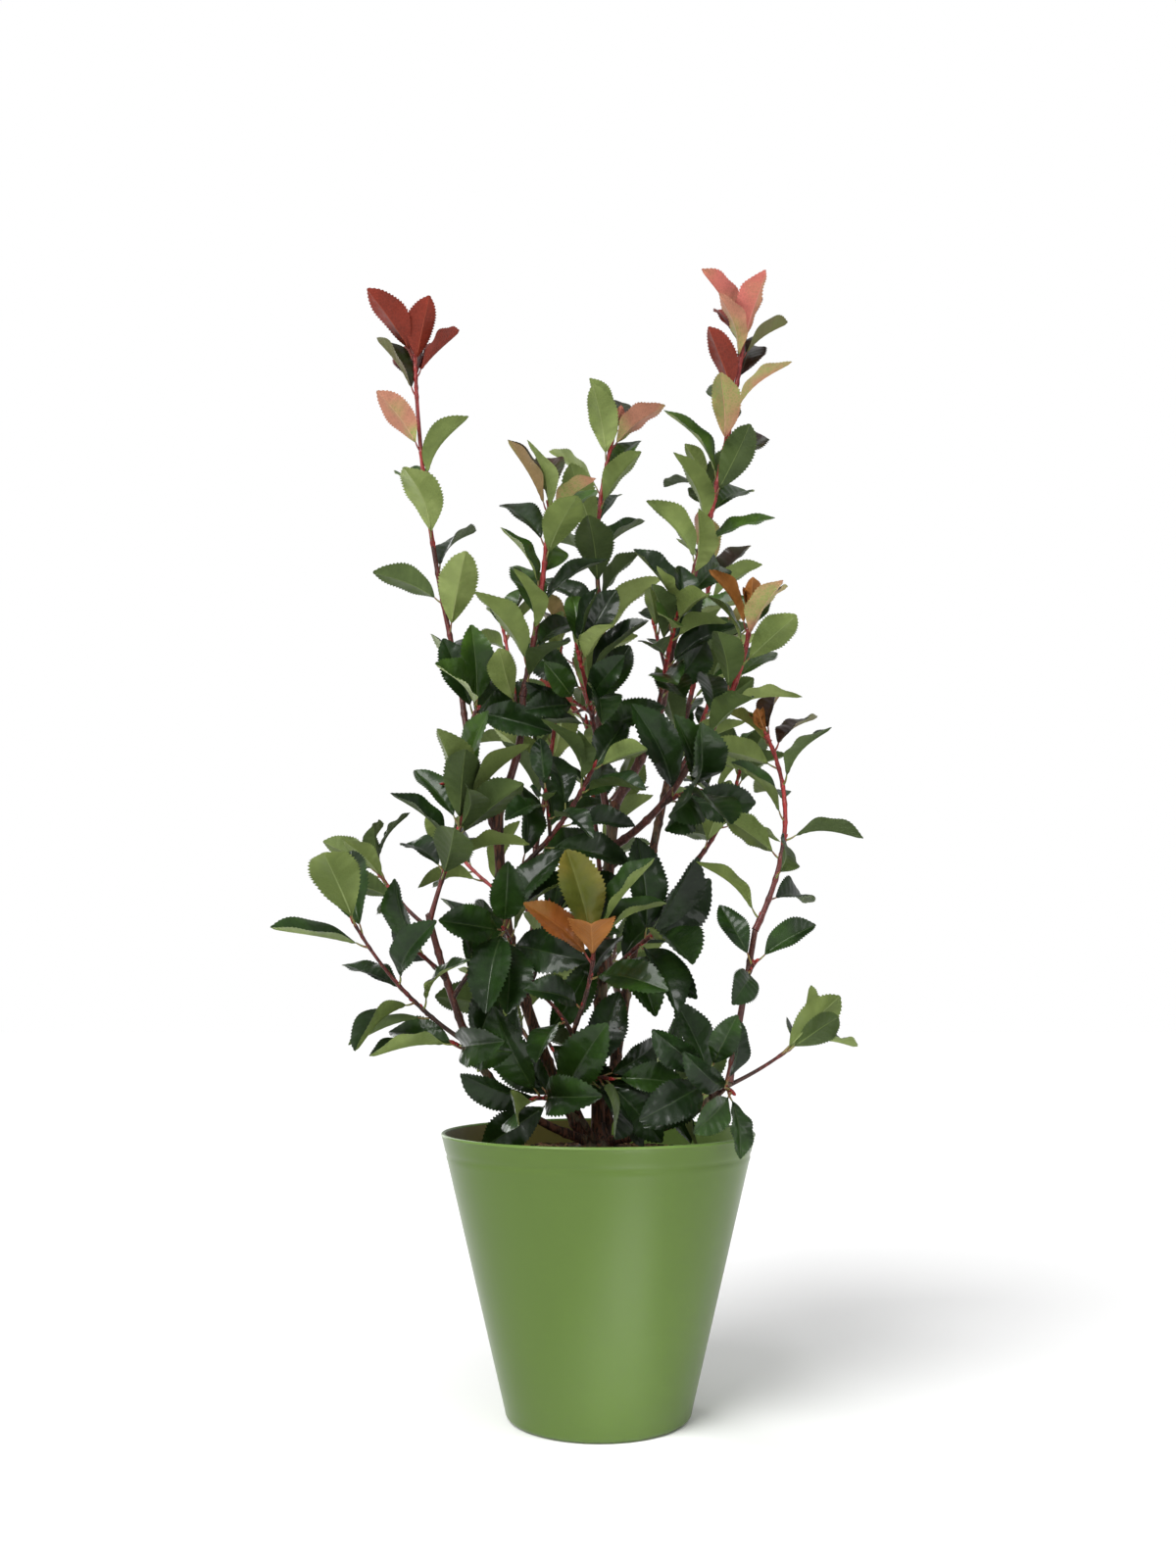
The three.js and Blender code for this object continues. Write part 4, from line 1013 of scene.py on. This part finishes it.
# Pruned ends: limb, place along it, direction around it, length and radius
STUBS = [
    ("trunk_left", 0.93, 150, 16, 3.6),
    ("trunk_centre", 0.8, 20, 14, 3.0),
    ("trunk_centre", 0.52, 200, 12, 2.8),
    ("stem_back", 0.4, 300, 12, 2.6),
    ("stem_low_left", 0.55, 90, 10, 2.4),
    ("stem_low_right", 0.7, 240, 10, 2.4),
]
STUB_RISE = 48  # degrees between a pruned end and its limb
STUB_TAPER = 0.9  # radius of its cut over that of its foot
KNOTS = SimpleNamespace(first=18, step=31)  # places of the knots along the trunks and boughs


def build_flare(piece):
    """The low lobed swelling that all the stems rise from"""
    slimmest = LIMBS[0].radius[0]
    profile = []
    for up in np.linspace(0, 1, FLARE.steps):
        radius = lerp(slimmest, FLARE.radius, (1 - up) ** FLARE.hollow)
        profile.append((radius, GROUND + FLARE.height * up))
    profile.append((CENTRE, GROUND + FLARE.height + 1))
    points, faces = turned(profile, FLARE.segments)
    angle = np.arctan2(points[:, 1], points[:, 0])
    around = angle / (2 * np.pi) % 1
    swell = 1 + FLARE.lobe_depth * np.cos(FLARE.lobes * angle)
    swell += FLARE.ridges * RIDGES.at(around, points[:, 2] / FLARE.ridge_length)
    swell += FLARE.cracks * CRACKS.at(around, points[:, 2] / FLARE.crack_length)
    points[:, :2] *= swell[:, None]
    piece.add(points, faces)


def build_wood(plant):
    old = Piece("trunks_and_stems", [bark_finish()])
    boughs = Piece("boughs", [stem_finish("red_bark", "5c302a", "41241f")])
    build_flare(old)
    for name, limb in plant.limbs.items():
        knots = np.arange(KNOTS.first, limb.length, KNOTS.step) / limb.length
        piece, kind = (boughs, BOUGH) if name.startswith("bough") else (old, TRUNK)
        piece.add(*stem_tube(limb, kind, knots))
        piece.nodes.add(name)
    for name, at, turn, length, radius in STUBS:
        limb = plant.limbs[name]
        reach = limb.heading(at, turn, STUB_RISE) * length
        stub = Limb(limb.point(at), reach, (0, 0, 0), (radius, radius * STUB_TAPER))
        old.add(*stem_tube(stub, STUB, []))
    old.build(old.nodes)
    boughs.build(boughs.nodes)


CRIMSON, WINE, RIPE = range(3)  # materials of the shoots' stems, in their order
# Starts of the names of shoots whose stems are already brown
OLD_SHOOTS = ("shoot_low", "shoot_rim", "shoot_back_low", "shoot_inner", "shoot_mid", "shoot_front",
              "shoot_far_left_low", "shoot_right_tip", "shoot_bronze", "shoot_diagonal")
TURNING = 0.4  # share of a stem that is riper than its end


def build_shoot_stems(plant):
    stems = Piece("shoot_stems", [stem_finish("crimson_stem", "a02d2b", "742220"),
                                  stem_finish("wine_stem", "632621", "3d1a15"),
                                  stem_finish("ripe_stem", "432820", "2f1c17")])
    feet = {}  # where the leaves stand on each stem
    for leaf in plant.leaves:
        feet.setdefault(id(leaf.stem), []).append(leaf.t)
    twigs = [*plant.shoots.items(), *plant.twigs]
    for name, limb in twigs:
        points, faces = stem_tube(limb, TWIG, feet.get(id(limb), []))
        ripe = np.arange(len(faces)) < TURNING * len(faces)
        young, older = (WINE, RIPE) if name.startswith(OLD_SHOOTS) else (CRIMSON, WINE)
        stems.add(points, faces, np.where(ripe, older, young))
        stems.nodes.add(name)
    for leaf in plant.leaves:
        if not leaf.in_tuft:
            stems.add(*side_bud(leaf))
    for _, limb in twigs:
        along, right, _ = limb.frame(1)
        stems.add(*bud(limb.point(1), along, right, END_BUD))
    stems.build(stems.nodes)


# Small unfolding leaves at the tips of these shoots: tone and length
UNFOLDING = {
    "spire_left": ("copper", 30), "spire_right": ("coral", 28), "spire_centre": ("coral", 22),
    "spire_centre_left": ("bronze", 20), "shoot_right": ("amber", 32), "shoot_far_right": ("amber", 34),
    "spire_back": ("coral", 26), "spire_back_left": ("copper", 24), "shoot_back_right": ("copper", 24),
}
# How they stand: `stray` and `rise` in degrees, and `scale` of that length
YOUNGEST = SimpleNamespace(count=3, stray=40, rise=(10, 26), stalk=4, scale=(0.7, 1.2), curl=0.05)


def unfold(plant):
    """Adds the small young leaves that stand in the middle of a tuft"""
    for name, (tone, length) in UNFOLDING.items():
        stem = plant.shoots[name]
        draw = seeded(len(name) * SEEDS.unfolding)
        for i in range(YOUNGEST.count):
            turn = 360 / YOUNGEST.count * i + YOUNGEST.stray * draw()
            aim = stem.heading(1, turn, between(YOUNGEST.rise, draw))
            along = stem.tangent(1)
            face = unit(along - aim * np.dot(along, aim))
            size = length * between(YOUNGEST.scale, draw)
            set_back = LEAF.petiole - YOUNGEST.stalk
            leaf = Leaf(stem, 1, name, aim, face, size, YOUNGEST.curl, set_back)
            leaf.in_tuft = True
            leaf.tone = tone
            plant.leaves.append(leaf)


# ------------------------------------------------------------------ planter and compost

POT_SEGMENTS = 180
PLASTIC, LIP_PAINTED_HIGHLIGHT, STAINED_PAINTED_LIGHT = range(3)  # materials of the planter, in their order


def wall_points(low, high, count, inset=0):
    """Profile points on the planter's tapered wall"""
    return [(pot_radius(z) - inset, z) for z in np.linspace(low, high, count)]


def build_pot():
    """One moulded wall: rounded foot, faint band, thin rolled lip and the inside down to its floor"""
    edge = POT.foot_edge
    band = POT.height - BAND.below_rim
    bottom = [(CENTRE, 0), (POT.foot / 2, 0), (POT.foot - edge - 1, 0)]
    foot = arc(pot_radius(edge) - edge, edge, edge, -90, 0, 8)
    groove = [(pot_radius(band + across) - BAND.depth * deep, band + across * BAND.width)
              for across, deep in BAND.shape]
    wall = wall_points(edge + 6, band - 6, 24)
    top = wall_points(band + 4, POT.height - 4, 5)
    roll = POT.wall / 2
    rolled = arc(POT.rim - roll, POT.height - roll, roll, 0, 180, 12)
    inside = wall_points(POT.height - 5, POT.floor + 1, 14, POT.wall)
    floor = [(pot_radius(POT.floor) - POT.wall - 1, POT.floor), (CENTRE, POT.floor)]
    pot = Piece("planter", [pot_finish("green_plastic", "546b2e", 0.27),
                            # The lip's paler green is a painted highlight along the rim's edge
                            pot_finish("lip_plastic", "67833f", 0.24),
                            # The inside's pale green is painted light; its brown on the left is compost
                            # stain with painted shade
                            stain_and_painted_light_finish("stained_plastic", "80a048", "62541f")])
    pot.add(*turned(bottom + foot + wall + groove + top + rolled[:1], POT_SEGMENTS), PLASTIC)
    # The rolled lip, painted paler as a highlight
    pot.add(*turned(rolled, POT_SEGMENTS), LIP_PAINTED_HIGHLIGHT)
    pot.add(*turned(rolled[-1:] + inside + floor, POT_SEGMENTS), STAINED_PAINTED_LIGHT)
    pot.build({"pot"})


SOIL_EDGE = pot_radius(SOIL.top) - POT.wall - GAP
# `settled` is how far its bumps are sunk below the mound
BED = SimpleNamespace(rings=46, segments=150, depth=12, level_edge=3, settled=1.2)
LUMPS = SimpleNamespace(grain=Grain(21, 40, 40), height=1.5, length=9)
CRUMBS = SimpleNamespace(grain=Grain(22, 90, 90), height=0.9, length=3.5)


def soil_height(radius):
    slope = (SOIL_EDGE - radius) / (SOIL_EDGE - SOIL.mound_radius)
    return SOIL.top + SOIL.mound * min(1, slope)


def build_bed():
    """The compost's gently mounded and lumpy top, with a short side under its edge"""
    profile = []
    for share in np.linspace(0, 1, BED.rings):
        profile.append((max(CENTRE, share * SOIL_EDGE), soil_height(share * SOIL_EDGE)))
    profile.append((SOIL_EDGE - 1, SOIL.top - BED.depth))
    points, faces = turned(profile, BED.segments)
    x, y, z = points.T
    bump = np.zeros(len(points))
    for layer in (LUMPS, CRUMBS):
        bump += layer.height * layer.grain.at(x / (2 * POT.rim) + 0.5, y / layer.length)
    loose = (np.hypot(x, y) < SOIL_EDGE - BED.level_edge) & (z > SOIL.top - 5)
    points[:, 2] += np.where(loose, bump - BED.settled, 0)
    bed = Piece("compost_bed", [compost_finish("peat", "2a1c12", "4a3422")])
    bed.add(points, faces[:, ::-1])
    bed.build({"soil"})


# Half sizes of a chip, and shares: `spread` of the bed, and `crooked` of a corner's distance
CHIPS = SimpleNamespace(count=1500, spread=0.97, clear_of_flare=0.8, clear_of_edge=7, lift=0.6,
                        length=(2, 7), width=(1.4, 3.4), thickness=(0.5, 1.4),
                        crooked=(0.75, 1.25), pitch=0.7)
CHIP_CORNERS = np.array([(x, y, z) for x in (-1, 1) for y in (-1, 1) for z in (-1, 1)], float)
CHIP_SIDES = np.array([(0, 1, 3, 2), (4, 6, 7, 5), (0, 4, 5, 1), (2, 3, 7, 6), (0, 2, 6, 4),
                       (1, 5, 7, 3)])


def tilted(yaw, pitch):
    """Matrix that tips a thing by `pitch` and then turns it by `yaw`, in radians"""
    cos, sin = math.cos(yaw), math.sin(yaw)
    turn = np.array([[cos, -sin, 0], [sin, cos, 0], [0, 0, 1]])
    cos, sin = math.cos(pitch), math.sin(pitch)
    tip = np.array([[cos, 0, sin], [0, 1, 0], [-sin, 0, cos]])
    return turn @ tip


def build_chips():
    """Crooked little blocks of bark, scattered over the compost"""
    rng = np.random.default_rng(SEEDS.compost)
    chips = Piece("bark_chips", [compost_finish("chip_brown", "3c281a", "6b4a30"),
                                 compost_finish("chip_dark", "1d130d", "38261a"),
                                 compost_finish("chip_pale", "6e5034", "927050")])
    for _ in range(CHIPS.count):
        radius = SOIL_EDGE * math.sqrt(rng.random()) * CHIPS.spread
        angle = 2 * np.pi * rng.random()
        if radius < FLARE.radius * CHIPS.clear_of_flare:
            continue
        length = lerp(*CHIPS.length, rng.random() ** 2)
        width = between(CHIPS.width, rng.random)
        thickness = between(CHIPS.thickness, rng.random)
        crooked = lerp(*CHIPS.crooked, rng.random(CHIP_CORNERS.shape))
        block = CHIP_CORNERS * (length, width, thickness) * crooked
        yaw, pitch = 2 * np.pi * rng.random(), stray(CHIPS.pitch, rng.random)
        out = radius * min(1.0, (SOIL_EDGE - CHIPS.clear_of_edge) / radius)
        height = soil_height(radius) + CHIPS.lift
        spot = np.array([out * math.cos(angle), out * math.sin(angle), height])
        kind = int(rng.integers(0, len(chips.materials)))
        chips.add(block @ tilted(yaw, pitch).T + spot, CHIP_SIDES, kind)
    chips.build({"soil"}, smooth=False)


# ------------------------------------------------------------------ stage, light and camera

AMBIENT = 0.52  # light from the white surroundings
FLOOR = 20  # metres from its middle to each side


def build_surroundings():
    """White all round to the eye, and a softer white as light"""
    world = bpy.data.worlds.new("studio")
    bpy.context.scene.world = world
    world.use_nodes = True
    tree = world.node_tree
    background = tree.nodes["Background"]
    background.inputs["Color"].default_value = (1, 1, 1, 1)
    seen = tree.nodes.new("ShaderNodeLightPath")
    strength = tree.nodes.new("ShaderNodeMath")
    strength.operation = "MULTIPLY_ADD"
    strength.inputs[1].default_value = 1 - AMBIENT
    strength.inputs[2].default_value = AMBIENT
    tree.links.new(seen.outputs["Is Camera Ray"], strength.inputs[0])
    tree.links.new(strength.outputs[0], background.inputs["Strength"])
    bpy.context.scene.view_settings.view_transform = "Standard"


def build_stage():
    mesh = bpy.data.meshes.new("floor")
    corners = [(x * FLOOR, y * FLOOR, 0) for x, y in ((-1, -1), (1, -1), (1, 1), (-1, 1))]
    mesh.from_pydata(corners, [], [(0, 1, 2, 3)])
    f = Finish("pale_floor", roughness=0.9)
    f.feed("Base Color", f.mix(f.noise(2, 3), (0.93, 0.93, 0.93, 1), (0.95, 0.95, 0.95, 1)))
    mesh.materials.append(f.material)
    thing = put("floor", mesh)


def shine(name, kind, place, target, power):
    """A lamp at `place` that points at `target`, in metres"""
    light = bpy.data.lights.new(name, kind)
    light.energy = power
    lamp = put(name, light)
    lamp.location = place
    lamp.rotation_euler = (Vector(target) - Vector(place)).to_track_quat("-Z", "Y").to_euler()
    return lamp


def panel(name, place, target, size, power):
    lamp = shine(name, "AREA", place, target, power)
    lamp.data.shape = "RECTANGLE"
    lamp.data.size, lamp.data.size_y = size


def build_lights():
    """A broad high sun-like key from the left, tall soft panels on the right and behind, and a
    lit pool on the floor that the planter's glossy wall mirrors
    """
    key = shine("key", "SUN", (-0.42, -0.6, 0.75), (0, 0, 0), 2.7)
    key.data.angle = math.radians(35)
    panel("right_panel", (1.5, -2.1, 0.9), (0, 0, 0.4), (0.5, 2.2), 12)
    pool = shine("floor_pool", "SPOT", (0.62, -0.95, 2.0), (0.125, -0.3, 0), 880)
    pool.scale = (0.5, 1.8, 1)
    pool.data.spot_size = math.radians(7)
    pool.data.spot_blend = 0.8
    pool.data.shadow_soft_size = 0.1
    panel("back_panel", (-1.3, 2.2, 1.2), (0, 0, 0.5), (0.8, 2.2), 14)


def build_camera():
    """Eye level with the lower crown, looking slightly up along +Y"""
    lens = bpy.data.cameras.new("camera")
    lens.lens = 29.27
    lens.sensor_width = 36
    camera = put("camera", lens)
    camera.location = (-0.0097, -1.264, 0.368)
    camera.rotation_euler = (math.radians(100.07), 0, 0)
    bpy.context.scene.camera = camera


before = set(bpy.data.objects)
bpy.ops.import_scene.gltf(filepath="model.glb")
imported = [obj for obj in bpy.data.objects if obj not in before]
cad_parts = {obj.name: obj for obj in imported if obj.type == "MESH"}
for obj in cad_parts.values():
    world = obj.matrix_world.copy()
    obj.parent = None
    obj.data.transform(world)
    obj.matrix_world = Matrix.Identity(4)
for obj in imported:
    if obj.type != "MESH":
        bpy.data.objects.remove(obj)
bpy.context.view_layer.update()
plant = Plant()
plant.grow()
unfold(plant)
build_leaves(plant)
build_shoot_stems(plant)
build_wood(plant)
build_pot()
build_bed()
build_chips()
build_surroundings()
build_stage()
build_lights()
build_camera()
bpy.context.view_layer.update()
